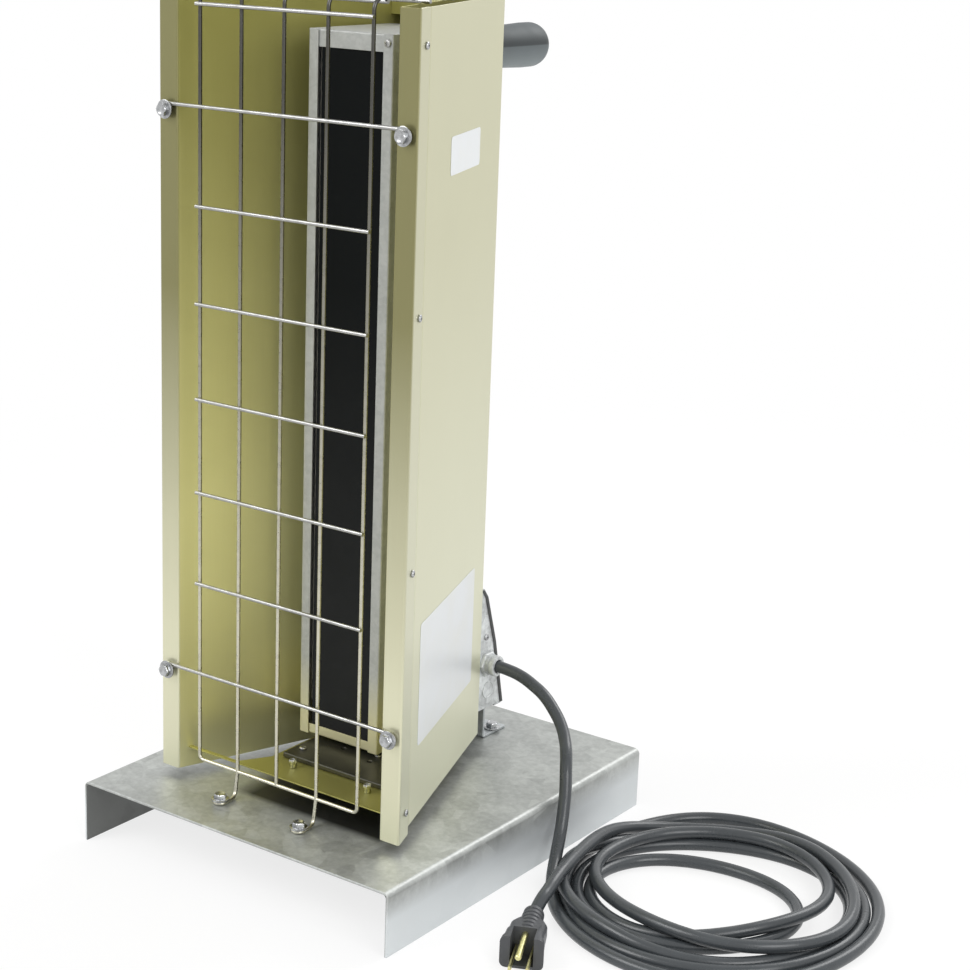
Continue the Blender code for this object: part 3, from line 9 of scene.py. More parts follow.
import bmesh
import bpy
import numpy as np
from bpy.props import FloatProperty, FloatVectorProperty, IntProperty, PointerProperty
from bpy.types import Operator, Panel, PropertyGroup
from mathutils import Matrix, Vector


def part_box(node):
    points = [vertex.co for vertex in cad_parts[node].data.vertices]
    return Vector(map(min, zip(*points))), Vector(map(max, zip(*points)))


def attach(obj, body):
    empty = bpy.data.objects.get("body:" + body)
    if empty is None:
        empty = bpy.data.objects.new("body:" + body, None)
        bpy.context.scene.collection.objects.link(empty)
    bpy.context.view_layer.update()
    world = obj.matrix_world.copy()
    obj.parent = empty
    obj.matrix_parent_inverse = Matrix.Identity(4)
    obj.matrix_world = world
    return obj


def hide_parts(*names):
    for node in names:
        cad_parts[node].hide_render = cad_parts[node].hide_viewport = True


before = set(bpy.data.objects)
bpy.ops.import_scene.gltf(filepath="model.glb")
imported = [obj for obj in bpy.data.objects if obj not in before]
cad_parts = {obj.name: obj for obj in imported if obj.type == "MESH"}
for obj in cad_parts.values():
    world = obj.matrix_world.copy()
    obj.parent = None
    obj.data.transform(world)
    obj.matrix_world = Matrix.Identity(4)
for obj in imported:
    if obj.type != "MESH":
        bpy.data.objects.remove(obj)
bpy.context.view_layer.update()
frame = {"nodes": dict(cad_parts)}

bl_info = {
    "name": "Infrared Heater",
    "version": (1, 0, 0),
    "blender": (4, 5, 0),
    "location": "3D View > Sidebar > Heater",
    "description": "Builds a portable infrared heater with its guard, cord and stage",
    "category": "Object",
}

MIDDLE_Y = 0.0149
HOME = Matrix.Translation((0, -MIDDLE_Y, 0))
# the gap under a seated piece, the gap under a thin plate, and how far a cutter runs past a face
SEAT_GAP = 0.0003
SKIN_GAP = 0.00005
OVERRUN = 0.004
ROUND_STEPS = 48
SMALL_STEPS = 32
GRIP_STEPS = 64
POST_FRONT = -0.1184
BEND_STEPS = 6
HOLE_STEPS = 24
HOLE_CLEARANCE = 0.0004
PLUNGER_BORE = 0.0034
GRIP_RADIUS = 0.0165
# sizes of the hexagon screws, and of the pan head screws with the lengths of their shorter kinds
HEX = {
    "shank": 0.0025,
    "head": 0.0052,
    "height": 0.0038,
    "length": 0.0110,
    "washer": 0.0072,
    "washer_height": 0.0012,
    "dish": 0.0006,
    "chamfer": 0.0008,
    "rounding": 0.0005,
    "edge": 0.0002,
}
PAN = {
    "shank": 0.0016,
    "head": 0.0028,
    "height": 0.0018,
    "length": 0.0070,
    "slot": 0.0008,
    "slot_depth": 0.0011,
    "rear": 0.0012,
    "stub": 0.0008,
}
# how far the edges of the pieces are rounded
BASE_EDGE = 0.00035
SHEET_EDGE = 0.0002
FRAME_EDGE = 0.00015
FACE_EDGE = 0.0003
PLATE_EDGE = 0.0008
BOX_COVER_EDGE = 0.00025
RIM_EDGE = 0.0001
PLUG_EDGE = 0.0005
LABEL_EDGE = 0.00006
# faces that meet at less than the first angle look smooth, and edges over the second are rounded
SMOOTH_ANGLE = math.radians(35)
EDGE_ANGLE = math.radians(50)
WELD_GAP = 0.00002

FOOT_HOOK_TURN = math.radians(135)
POST_HOOK_TURN = math.radians(126)
HOOK_STEPS = 16

# the blank labels' corners: distance back along the side cover, and height
LABEL_CORNERS = {
    "small_label": ((0.081, 0.545), (0.157, 0.573)),
    "large_label": ((0.040, 0.122), (0.186, 0.219)),
}
LABEL_ROUNDING = 0.003
LABEL_FACES = (SKIN_GAP, 0.0003)

# the wiring plate's screws and open holes: x, and distance back from the plate's front
PLATE_SCREWS = ((-0.019, 0.015), (0.036, 0.042))
PLATE_HOLES = ((0.005, 0.037), (0.037, 0.030))
STANDOFFS = (("left", -0.008), ("right", 0.066))
STANDOFF_OUT = 0.010

# places on the junction box's sides: depth and height
KNOCKOUT_PLACE = (0.1006, 0.0980)
BOX_SCREW_PLACE = (0.0955, 0.1460)

# the heights between which a finish turns into its lower tone
# the base's flanges are painted lighter than its top, as painted light
FLANGE_LIGHT_FADE = (0.028, 0.046)
FRAME_FADE = (0.10, 0.15)
# the gold walls and post fronts: painted shade at the top turning into painted light lower down
GOLD_LIGHT_FADE = (0.25, 0.66)
POST_LIGHT_FADE = (0.18, 0.45)
COVER_FADE = (0.20, 0.50)
# the columns' painted reflection: dark at the top, light lower down
COLUMN_LIGHT_FADE = (0.20, 0.60)
# the emitter face's painted reflection of the floor
FACE_REFLECTION_FADE = (0.12, 0.45)
# where the painted shadow under the floor panel begins in front and on the left, and where it ends at the
# back
SHADE_FRONT = (POST_FRONT + 0.006, POST_FRONT + 0.014)
SHADE_BACK = (0.085, 0.080)
SHADE_LEFT = (-0.055, -0.035)

# the photograph's camera: its place, its right and up directions, its lens and its shift
CAMERA_PLACE = (0.98478, -1.27870, 0.74956)
CAMERA_RIGHT = (0.79870491, 0.60111252, 0.02709625)
CAMERA_UP = (-0.18060298, 0.19652768, 0.96372166)
CAMERA_LENS = 79.06
CAMERA_SENSOR = 36
CAMERA_SHIFT = (0.0724, -0.0199)

# each lamp's name, place, width and power
LAMPS = (
    ("key_lamp", (-1.6, -2.4, 2.6), 1.8, 60),
    ("fill_lamp", (2.6, -1.0, 1.8), 1.6, 36),
    ("rear_lamp", (0.6, 2.6, 2.4), 1.6, 36),
)
LAMP_AIM = (0, 0, 0.3)
FLOOR_HALF = 9
FLOOR_ROUNDING = 2
FLOOR_DEPTH = 0.01
SHADOW_REACH = (0.7, 1.5)

# the cord's route from the junction box to the floor, and from the coil to the plug
MOUTH = (0.0570, 0.0976, 0.1223)
CORD_START_X = 0.0350
LEAD_ROUTE = (
    (0.0750, 0.0971, 0.1211),
    (0.0900, 0.0954, 0.1173),
    (0.1070, 0.0907, 0.1121),
    (0.1220, 0.0856, 0.1026),
    (0.1350, 0.0784, 0.0924),
    (0.1460, 0.0665, 0.0834),
    (0.1530, 0.0565, 0.0766),
    (0.1600, 0.0465, 0.0557),
    (0.1610, 0.0432, 0.0340),
    (0.1660, 0.0340, 0.0158),
)
TAIL_ROUTE = (
    (0.1970, -0.0080, 0.0157),
    (0.2024, -0.0300, 0.0150),
    (0.2056, -0.0480, 0.0136),
)
PLUG_REAR = (0.2084, -0.0662, 0.0126)
PLUG_HEADING = (0.43, -0.90)
BLADE_ROUNDING = 0.0012
BLADE_ROOT = 0.0005
# a rib of the plug's neck: each point's depth under the crest, and its share of the rib's length
RIB_FORM = ((0.0003, 0), (0, 0.15), (0, 0.45), (0.0014, 0.60), (0.0014, 0.95))
NECK_RIBS = 7
COIL_CENTRE = (0.2900, 0.0660)

# the coil's loops: each row is one loop's distances from the centre, an eighth of a turn apart
COIL_START = 210
COIL_RADII = (
    (0.124, 0.138, 0.146, 0.126, 0.121, 0.122, 0.136, 0.116),
    (0.116, 0.127, 0.126, 0.116, 0.110, 0.102, 0.091, 0.103),
    (0.121, 0.122, 0.115, 0.104, 0.100, 0.090, 0.081, 0.094),
    (0.109, 0.106, 0.088, 0.076, 0.056, 0.041, 0.042, 0.069),
    (0.100, 0.102, 0.084, 0.075, 0.085, 0.088, 0.085, 0.089),
    (0.097, 0.089, 0.103, 0.111, 0.100, 0.101, 0.111, 0.114),
)
LOOP_RISE = 0.0095
# how the cord settles from points LAY_STEP apart: in each round it falls, more slowly in the second
# half, is pulled back over its laid route, and shares its bends out
LAY_STEP = 0.005
LAY_ROUNDS = 260
LAY_FALL = (0.0006, 0.00015)
LAY_PULL = 0.20
LAY_REACHES = ((1, 0.4), (2, 0.4), (4, 0.35), (7, 0.2))
# strands: how near they come and how far they are looked for, in diameters, the ease of their
# pushes, the neighbours along the cord that don't count, and the rounds between two looks
LAY_APART = 1.02
LAY_SIGHT = 2.2
LAY_EASE = 0.55
LAY_SKIP = 7
LAY_LOOK = 10
# how much of the loops' rise the tail's points start with, how much of the lead's end settles with
# the loops, and how much of the tail's end stays put
TAIL_LIFT_SHARES = (1, 0.7, 0.2)
LOOSE_LEAD = 0.035
FIXED_TAIL = 0.012


def size(name, description, default):
    """A length that a user may change."""
    return FloatProperty(name=name, description=description, default=default, unit="LENGTH", precision=4)


def colour(name, description, default):
    """A colour that a user may change."""
    return FloatVectorProperty(
        name=name, description=description, default=default, subtype="COLOR", size=3, min=0, max=1
    )


class BaseSizes(PropertyGroup):
    """Sizes of the folded base."""

    width: size("Width", "Width of the base", 0.3048)
    depth: size("Depth", "Depth of the base", 0.346)
    height: size("Height", "Height of the base's top above the floor", 0.0508)
    sheet: size("Sheet", "Thickness of the base's sheet", 0.002)
    bend: size("Bend", "Inside radius of the base's bends", 0.0028)


class TowerSizes(PropertyGroup):
    """Sizes of the reflector tower and its covers."""

    front_half: size("Front half width", "Half the tower's width at the front", 0.1201)
    rear_half: size("Rear half width", "Half the tower's width at the back", 0.0478)
    front: size("Front", "Depth of the posts' front", POST_FRONT)
    depth: size("Depth", "From the posts' front to the side covers' back", 0.2028)
    bottom: size("Bottom", "Height of the tower's lower edge", 0.0580)
    top: size("Top", "Height of the tower's upper edge", 0.6666)
    post: size("Post width", "Width of the flat front of each post", 0.0182)
    return_depth: size("Return", "Depth of the return that takes the side screws", 0.0220)
    cover_inset: size("Cover inset", "Rise of the side covers above the tower's lower edge", 0.0065)
    sheet: size("Sheet", "Thickness of the tower's sheet", 0.0010)
    bend: size("Bend", "Inside radius of the tower's bends", 0.0006)
    rear_flange: size("Rear flange", "Width of the side covers' rear flange", 0.0120)
    screw_back: size("Screw distance", "From the front corner to the side screws", 0.0138)
    screw_foot: size("First screw", "Height of the lowest side screw", 0.0792)
    screw_pitch: size("Screw pitch", "Between one side screw and the next", 0.1874)
    screws: IntProperty(name="Screws", description="Side screws in each side", default=4, min=2)
    joggle: size("Joggle", "Length in which a cover steps behind its return", 0.0017)
    tab: size("Tab", "From the front corner to the end of a cover's tab", 0.0060)
    cover_bend: size("Cover bend", "Inside radius of the covers' bends", 0.0004)
    rear_screw_x: size("Rear screws", "From the middle to the back cover's screws", 0.0405)
    rear_screw_end: size("Rear screw end", "From the tower's ends to the nearest rear screw", 0.0350)
    rear_screws: IntProperty(name="Rear screws", description="Rear screws in each side", default=4, min=2)


class GuardSizes(PropertyGroup):
    """Sizes of the wire guard."""

    wire: size("Wire", "Diameter of the guard's wire", 0.0030)
    bite: size("Weld bite", "Overlap of crossing wires", 0.0004)
    column_pitch: size("Column pitch", "Between one upright wire and the next", 0.03975)
    first_row: size("First row", "Height of the lowest cross wire", 0.0724)
    row_pitch: size("Row pitch", "Between one cross wire and the next", 0.0733)
    rows: IntProperty(name="Rows", description="Cross wires of the guard", default=9, min=8)
    overhang: size("Overhang", "Cross wires' reach past the outer columns", 0.0020)
    corner: size("Corner", "Radius of the guard's lower corners", 0.0040)
    top_bend: size("Top bend", "Radius in which the columns bend back", 0.0080)
    top_run: size("Top run", "Length of the columns' bent ends", 0.0160)
    screw_inset: size("Screw inset", "From the tower's corner to the post screws", 0.0097)
    foot_out: size("Foot reach", "From the posts' front to the foot screws", 0.0170)
    foot_shift: size("Foot shift", "From a column to its foot screw", 0.0021)
    top_length: size("Top grille", "Length of the grille over the open top", 0.1560)
    top_bars: IntProperty(name="Top bars", description="Cross bars of the top grille", default=3, min=1)
    bar_rest: size("Bar rest", "Length of the top bars that rests on the covers", 0.0090)
    knee: size("Knee", "Radius in which the grille's outer wires bend inwards", 0.0120)


class EmitterSizes(PropertyGroup):
    """Sizes of the panel emitter and the panel below it."""

    half: size("Half width", "Half the emitter frame's width", 0.0395)
    setback: size("Setback", "From the posts' front to the emitter's front", 0.0754)
    bottom: size("Bottom", "Height of the frame's lower edge", 0.0840)
    top: size("Top", "Height of the frame's upper edge", 0.6413)
    sheet: size("Sheet", "Thickness of the frame's sheet", 0.0010)
    side_flange: size("Side flange", "Width of the frame's side flanges", 0.0090)
    top_flange: size("Top flange", "Height of the frame's top flange", 0.0130)
    bottom_flange: size("Bottom flange", "Height of the frame's bottom flange", 0.0080)
    face_half: size("Face half width", "Half the black face's width", 0.0286)
    face_depth: size("Face thickness", "Thickness of the black face", 0.0020)
    face_margin: size("Face margin", "From the frame's ends to the face's ends", 0.0030)
    panel_top: size("Panel top", "Height of the gold panel below the emitter", 0.0752)
    plate_left: size("Plate left", "From the middle to the wiring plate's left edge", 0.0270)
    plate_setback: size("Plate setback", "From the posts' front to the wiring plate", 0.0404)
    plate_depth: size("Plate depth", "Depth of the wiring plate", 0.0560)
    plate_height: size("Plate height", "Height of the wiring plate", 0.0042)
    plate_gap: size("Plate gap", "From the wiring plate to the reflector", 0.0015)
    bend: size("Bend", "Inside radius of the frame's bends", 0.0005)
    face_rounding: size("Face rounding", "Radius of the black face's corners", 0.0015)
    screw: size("Screw", "Length of the frame's screw", 0.0040)


class BoxSizes(PropertyGroup):
    """Sizes of the junction box, its connector and its bracket."""

    half: size("Half width", "Half the box's width", 0.0450)
    back: size("Back", "Depth of the box's back wall", 0.0860)
    bottom: size("Bottom", "Height of the box's floor", 0.0820)
    wall: size("Wall", "Thickness of the box's sheet", 0.0012)
    height: size("Height", "Height of the box", 0.1060)
    cover_lip: size("Cover lip", "Length of the cover's lower lip", 0.0110)
    cover_rim: size("Cover rim", "Width of the cover's rims over the box's sides", 0.0034)
    rim_slope: size("Rim slope", "Rise of the rims' inner edge over their outer edge", 0.0004)
    knockout: size("Knockout", "Radius of the knockout in the side", 0.0075)
    barrel: size("Barrel", "Radius of the cord connector's barrel", 0.0088)
    neck: size("Neck", "Radius of the cord connector's thread", 0.0075)
    flange: size("Flange", "Radius over the corners of the connector's nut", 0.0112)
    reach: size("Reach", "How far the connector stands out", 0.0120)
    bore: size("Bore", "Radius of the connector's bore", 0.0054)
    bore_rim: size("Bore rim", "Bevel around the connector's bore", 0.0006)
    barrel_rim: size("Barrel rim", "Rounding of the barrel's outer edge", 0.0010)
    groove: size("Groove", "Depth of the groove around the barrel", 0.0008)
    groove_out: size("Groove place", "From the box's side to the groove's middle", 0.0072)
    nut: size("Nut", "Height of the connector's nut", 0.0035)
    thread: size("Thread", "Length of the connector's thread inside the box", 0.0070)
    bracket_half: size("Bracket half width", "Half the rear bracket's width", 0.0390)
    bracket_sheet: size("Bracket sheet", "Thickness of the rear bracket", 0.0020)
    bolt_x: size("Bolt spacing", "From the middle to each bracket bolt", 0.0340)
    bolt_back: size("Bolt depth", "From the box's back to the bracket bolts", 0.0391)
    lean: size("Upper edge", "From the back wall to the side's upper edge", 0.0040)
    brow_out: size("Brow", "From the back wall to the side's upper corner", 0.0095)
    brow_up: size("Brow height", "From the box's floor to the side's upper corner", 0.0985)
    knee_out: size("Knee", "From the back wall to the side's lower corner", 0.0230)
    knee_up: size("Knee height", "From the box's floor to the side's lower corner", 0.0570)
    foot_out: size("Depth", "Depth of the box's floor", 0.0361)
    bend: size("Bend", "Inside radius of the cover's and bracket's bends", 0.0012)
    switch_back: size("Switch", "From the back wall to the tip-over switch", 0.0121)
    lead_x: size("Leads", "From the middle to each hole for a lead", 0.0204)
    lead_up: size("Lead height", "From the box's floor to the holes for the leads", 0.0940)
    lead_bore: size("Lead bore", "Radius of the holes for the leads", 0.0026)
    web: size("Web", "From the back wall to the bracket's upright web", 0.0206)
    bracket_edge: size("Bracket edge", "From the back wall to the bracket's upper edge", 0.0040)
    bracket_foot: size("Bracket foot", "Length of the bracket's foot", 0.0315)


class HandleSizes(PropertyGroup):
    """Sizes of the handle."""

    height: size("Height", "Height of the handle's middle", 0.6220)
    tube: size("Tube", "Radius of the handle's tube", 0.0110)
    tube_wall: size("Tube wall", "Wall of the handle's tube", 0.0020)
    flange: size("Flange", "Radius of the handle's flange", 0.0230)
    flange_sheet: size("Flange sheet", "Thickness of the handle's flange", 0.0030)
    neck: size("Neck", "From the back cover to the grip", 0.0140)
    length: size("Length", "Length of the grip", 0.1028)
    radius: size("Radius", "Radius of the grip at its root", 0.0150)
    end_radius: size("End radius", "Radius of the grip near its end", 0.0179)
    taper: size("Taper", "Length over which the grip widens", 0.0760)
    crown: size("Crown", "Radius of the grip's rounded end", 0.0140)
    cap: size("Cap", "Thickness of the grip's closed end", 0.0040)
    weld: size("Weld", "Size of the weld between the tube and its flange", 0.0015)
    chamfer: size("Chamfer", "Chamfer of the flange's edge", 0.0008)
    screw_circle: size("Screw circle", "From the handle's middle to the flange's screws", 0.0180)


class CordSizes(PropertyGroup):
    """Sizes of the cord and its plug."""

    diameter: size("Diameter", "Diameter of the cord", 0.0100)
    relief: size("Relief", "Length of the plug's ribbed neck", 0.0260)
    body: size("Body", "Length of the plug's body", 0.0380)
    rear_half: size("Rear half width", "Half the plug's width behind", 0.0095)
    middle_half: size("Middle half width", "Half the plug's width in its middle", 0.0142)
    front_half: size("Front half width", "Half the plug's width at its face", 0.0160)
    half_height: size("Half height", "Half the plug's height", 0.0122)
    recess: size("Recess", "Depth of the recess around the pin and blades", 0.0175)
    recess_half: size("Recess half width", "Half the width of the recess", 0.0086)
    blade: size("Blade length", "How far the blades stand out", 0.0175)
    blade_spacing: size("Blade spacing", "Between the blades", 0.0127)
    blade_drop: size("Blade drop", "From the plug's middle down to the blades", 0.0055)
    pin_rise: size("Pin rise", "From the plug's middle up to the round pin", 0.0060)
    pin_length: size("Pin length", "How far the round pin stands out", 0.0195)
    pin: size("Pin", "Radius of the round pin", 0.0024)
    blade_half: size("Blade half width", "Half the width of a blade", 0.00315)
    blade_sheet: size("Blade sheet", "Thickness of a blade", 0.0015)
    blade_hole: size("Blade hole", "Radius of the hole in a blade", 0.0015)
    blade_hole_in: size("Blade hole place", "From a blade's tip to its hole", 0.0035)
    recess_floor: size("Recess floor", "From the plug's underside to the recess", 0.0022)
    rounding: size("Rounding", "Radius of the plug's long edges", 0.0045)
    neck_tuck: size("Neck tuck", "How far the ribbed neck reaches into the body", 0.0170)
    neck_tip: size("Neck tip", "Radius of the ribbed neck at the cord", 0.0076)
    neck_swell: size("Neck swell", "Reach of the neck's last rib past the body", 0.0004)
    neck_mouth: size("Neck mouth", "How far the neck's end is drawn in", 0.0020)


class Colours(PropertyGroup):
    """Colours of the heater's finishes."""

    zinc: colour("Galvanised", "Hot dipped sheet", (0.52, 0.55, 0.56))
    box: colour("Box", "Duller zinc of the junction box", (0.62, 0.64, 0.64))
    # the base's top and its flanges are a shaded and a lit copy of one zinc, as painted light
    base: colour("Base", "Top of the galvanised base", (0.44, 0.455, 0.44))
    flange: colour("Flanges", "Flanges of the galvanised base", (0.64, 0.67, 0.68))
    # the gold walls' and post fronts' upper and lower tones are painted light: painted shade at the top,
    # painted light lower down
    gold: colour("Gold", "Gold reflector walls, at their upper end", (0.40, 0.38, 0.120))
    lit_low_gold: colour("Lower gold", "Gold reflector walls, at their lower end", (0.86, 0.83, 0.46))
    post: colour("Posts", "Front of the reflector's posts, at their upper end", (0.245, 0.232, 0.108))
    lit_low_post: colour("Lower posts", "Front of the reflector's posts, at their lower end", (0.71, 0.70, 0.51))
    cover: colour("Covers", "Pale gold covers, at their upper end", (0.57, 0.56, 0.39))
    low_cover: colour("Lower covers", "Pale gold covers, at their lower end", (0.67, 0.67, 0.51))
    bright: colour("Screws", "Bright zinc plating of the screws", (0.56, 0.57, 0.58))
    # the guard's wires are a lit and a shaded copy of one plating, as painted reflection: the rows lighter,
    # the columns dark at the top and light lower down
    wire: colour("Rows", "Cross wires of the guard", (0.42, 0.42, 0.41))
    column: colour("Columns", "Upright wires of the guard, at their upper end", (0.095, 0.093, 0.085))
    lit_low_column: colour("Lower columns", "Upright wires, at their lower end", (0.60, 0.58, 0.48))
    steel: colour("Steel", "Plain steel", (0.50, 0.50, 0.49))
    frame: colour("Emitter frame", "Zinc sheet of the emitter's frame", (0.42, 0.43, 0.415))
    low_frame: colour("Lower frame", "The emitter's frame at its lower end", (0.66, 0.63, 0.40))
    # the emitter face's lower tone is a painted reflection of the floor
    panel: colour("Emitter face", "Black face of the emitter, at its upper end", (0.0030, 0.0040, 0.0045))
    low_panel_reflection: colour("Lower face", "Black face of the emitter, at its lower end", (0.021, 0.022, 0.023))
    plate: colour("Wiring plate", "Dark plate over the wiring", (0.052, 0.051, 0.040))
    floor: colour("Floor panel", "Gold panel under the emitter", (0.42, 0.40, 0.13))
    board: colour("Insulation", "Fibre board behind the element", (0.70, 0.68, 0.60))
    plastic: colour("Black plastic", "Switch, terminals and plug", (0.055, 0.058, 0.064))
    grip: colour("Grip", "Grey rubber of the handle", (0.042, 0.048, 0.050))
    cord: colour("Cord", "Jacket of the cord", (0.046, 0.052, 0.057))
    brass: colour("Brass", "Blades and pin of the plug", (0.78, 0.74, 0.36))
    label: colour("Labels", "Blank label plates", (0.66, 0.68, 0.69))


class Socket:
    """An output of a shader node, on which shader maths is written as Python expressions."""

    def __init__(self, finish, link):
        self.finish = finish
        self.link = link

    def __add__(self, other):
        return self.finish.maths("ADD", self, other)

    def __radd__(self, other):
        return self.finish.maths("ADD", other, self)

    def __sub__(self, other):
        return self.finish.maths("SUBTRACT", self, other)

    def __mul__(self, other):
        return self.finish.maths("MULTIPLY", self, other)

    def __rmul__(self, other):
        return self.finish.maths("MULTIPLY", other, self)

    def __truediv__(self, other):
        return self.finish.maths("DIVIDE", self, other)


class Finish:
    """A material, or a world, and its nodes."""

    def __init__(self, name, world=None):
        self.material = world or bpy.data.materials.new(f"{name}_finish")
        self.material.use_nodes = True
        self.tree = self.material.node_tree
        self.tree.nodes.clear()

    def node(self, kind, settings=None, sockets=None, output=0):
        """Add a node: its settings are set first, then its sockets, by value or by link."""
        made = self.tree.nodes.new(kind)
        for key, value in (settings or {}).items():
            setattr(made, key, value)
        for key, value in (sockets or {}).items():
            if isinstance(value, Socket):
                self.tree.links.new(value.link, made.inputs[key])
            else:
                made.inputs[key].default_value = value
        return Socket(self, made.outputs[output]) if made.outputs else None

    def maths(self, operation, first, second):
        return self.node("ShaderNodeMath", {"operation": operation}, {0: first, 1: second})

    def blend(self, factor, first, second):
        """A colour between two others."""
        shades = {0: factor, 6: as_shade(first), 7: as_shade(second)}
        return self.node("ShaderNodeMix", {"data_type": "RGBA", "clamp_factor": True}, shades, 2)

    def place(self, stretch=(1, 1, 1)):
        """Where a point of the piece is, in metres, stretched along each axis."""
        spot = self.node("ShaderNodeTexCoord", output="Object")
        if stretch == (1, 1, 1):
            return spot
        return self.node("ShaderNodeVectorMath", {"operation": "MULTIPLY"}, {0: spot, 1: stretch})

    def along(self, axis):
        """How far along an axis (0, 1 or 2) a point of the piece is, in metres."""
        return self.node("ShaderNodeSeparateXYZ", sockets={0: self.place()}, output=axis)

    def lowered(self, tone, low_tone, fade, cloud=0.5):
        """A tone that turns into another one between two heights, the lower given first, in clouds."""
        fall = self.contrast(self.along(2), fade[1], fade[0])
        return self.blend(fall * (0.85 + 0.3 * cloud), tone, low_tone)

    def noise(self, scale, detail=3.0, rough=0.5, stretch=(1, 1, 1)):
        """Cloudy noise from 0 to 1."""
        sockets = {"Vector": self.place(stretch), "Scale": scale, "Detail": detail, "Roughness": rough}
        return self.node("ShaderNodeTexNoise", sockets=sockets)

    def cells(self, scale):
        """A random value for each crystal of the zinc."""
        sockets = {"Vector": self.place(), "Scale": scale}
        spangle = self.node("ShaderNodeTexVoronoi", sockets=sockets, output=1)
        return self.node("ShaderNodeSeparateColor", sockets={0: spangle})

    def contrast(self, value, low, high):
        """A value spread so that low becomes 0 and high becomes 1, and kept between them."""
        sockets = {0: value, 1: low, 2: high}
        return self.node("ShaderNodeMapRange", {"clamp": True}, sockets)

    def shader(self, shade, roughness, metallic=0.0, bump=None, bump_depth=0.0001, **steady):
        """The surface: what changes over it is linked, and what is the same all over it is set."""
        sockets = {"Base Color": as_shade(shade), "Roughness": roughness, "Metallic": metallic, **steady}
        if bump is not None:
            relief = {"Height": bump, "Distance": bump_depth, "Strength": 1.0}
            sockets["Normal"] = self.node("ShaderNodeBump", sockets=relief)
        surface = self.node("ShaderNodeBsdfPrincipled", sockets=sockets)
        self.node("ShaderNodeOutputMaterial", sockets={0: surface})
        return self.material


def as_shade(value):
    """A colour as a shader's socket takes it."""
    return value if isinstance(value, Socket) else (*value[:3], 1)


def darker(shade, share):
    """A colour with a share of its light."""
    return tuple(min(1, share * part) for part in shade)


def zinc_tone(finish, shade, spangle, spread=(0.78, 1.18)):
    """The tone of hot dipped zinc and its roughness: crystals, clouds of dull bloom and fine grain."""
    cloud, crystal = finish.noise(24, 5, 0.6), finish.cells(spangle)
    speckle = finish.noise(180, 4, 0.7)
    mottle = finish.contrast(cloud * 0.4 + crystal * 0.15 + speckle * 0.45, 0.36, 0.64)
    tint = finish.blend(mottle, darker(shade, spread[0]), darker(shade, spread[1]))
    return tint, 0.34 + crystal * 0.10 + cloud * 0.14


def zinc_finish(name, shade, spangle=70, metallic=0.6, spread=(0.78, 1.18), low_shade=None):
    """Hot dipped zinc sheet."""
    finish = Finish(name)
    tint, rough = zinc_tone(finish, shade, spangle, spread)
    if low_shade is not None:
        tint = finish.lowered(tint, low_shade, FRAME_FADE)
    return finish.shader(tint, rough, metallic, finish.noise(900, 2), 0.00004)


def base_finish(name, shade, flange):
    """Zinc of the base with painted light: paler down its flanges, painted shade inside them, and painted
    shadow under the floor panel.
    """
    sizes, shape = bpy.context.scene.heater_base, TowerPlan(bpy.context.scene.heater_tower)
    finish = Finish(name)
    tint, rough = zinc_tone(finish, shade, 60)
    # painted light: the flanges paler than the top
    tint = finish.lowered(tint, flange, FLANGE_LIGHT_FADE)
    across, back, up = finish.maths("ABSOLUTE", finish.along(0), 0), finish.along(1), finish.along(2)
    inner, under = sizes.width / 2 - 0.9 * sizes.sheet, sizes.height - 0.9 * sizes.sheet
    inside = finish.contrast(across, inner + 0.0006, inner) * finish.contrast(up, under, under - 0.0004)
    # painted shade on the flanges' inner faces, under the base
    tint = finish.blend(inside, tint, darker(shade, 0.35))
    wall = shape.sizes.front_half - shape.sizes.post
    # painted shadow on the base under the floor panel
    panel_shadow = finish.contrast(shape.reach(finish), wall + 0.001, wall - 0.005)
    panel_shadow = panel_shadow * finish.contrast(back, *SHADE_FRONT) * finish.contrast(back, *SHADE_BACK)
    panel_shadow = panel_shadow * finish.contrast(finish.along(0), *SHADE_LEFT)
    tint = finish.blend(panel_shadow, tint, darker(shade, 0.08))
    return finish.shader(tint, rough, 0.6, finish.noise(900, 2), 0.00004)


def rolling(finish):
    """The fine lines of rolled sheet, and its faint clouds."""
    return finish.noise(1.0, 4, 0.6, (900, 900, 12)), finish.noise(7, 3)


def rolled_finish(name, shade, low_shade=None):
    """Satin anodised sheet: fine lines along its rolling, faint clouds, and a slow change of tone."""
    finish = Finish(name)
    lines, cloud = rolling(finish)
    tone = finish.blend(lines * 0.5 + cloud * 0.5, darker(shade, 0.90), darker(shade, 1.08))
    if low_shade is not None:
        tone = finish.lowered(tone, low_shade, COVER_FADE, cloud)
    return finish.shader(tone, 0.36 + lines * 0.12, 0.7, lines, 0.00002)


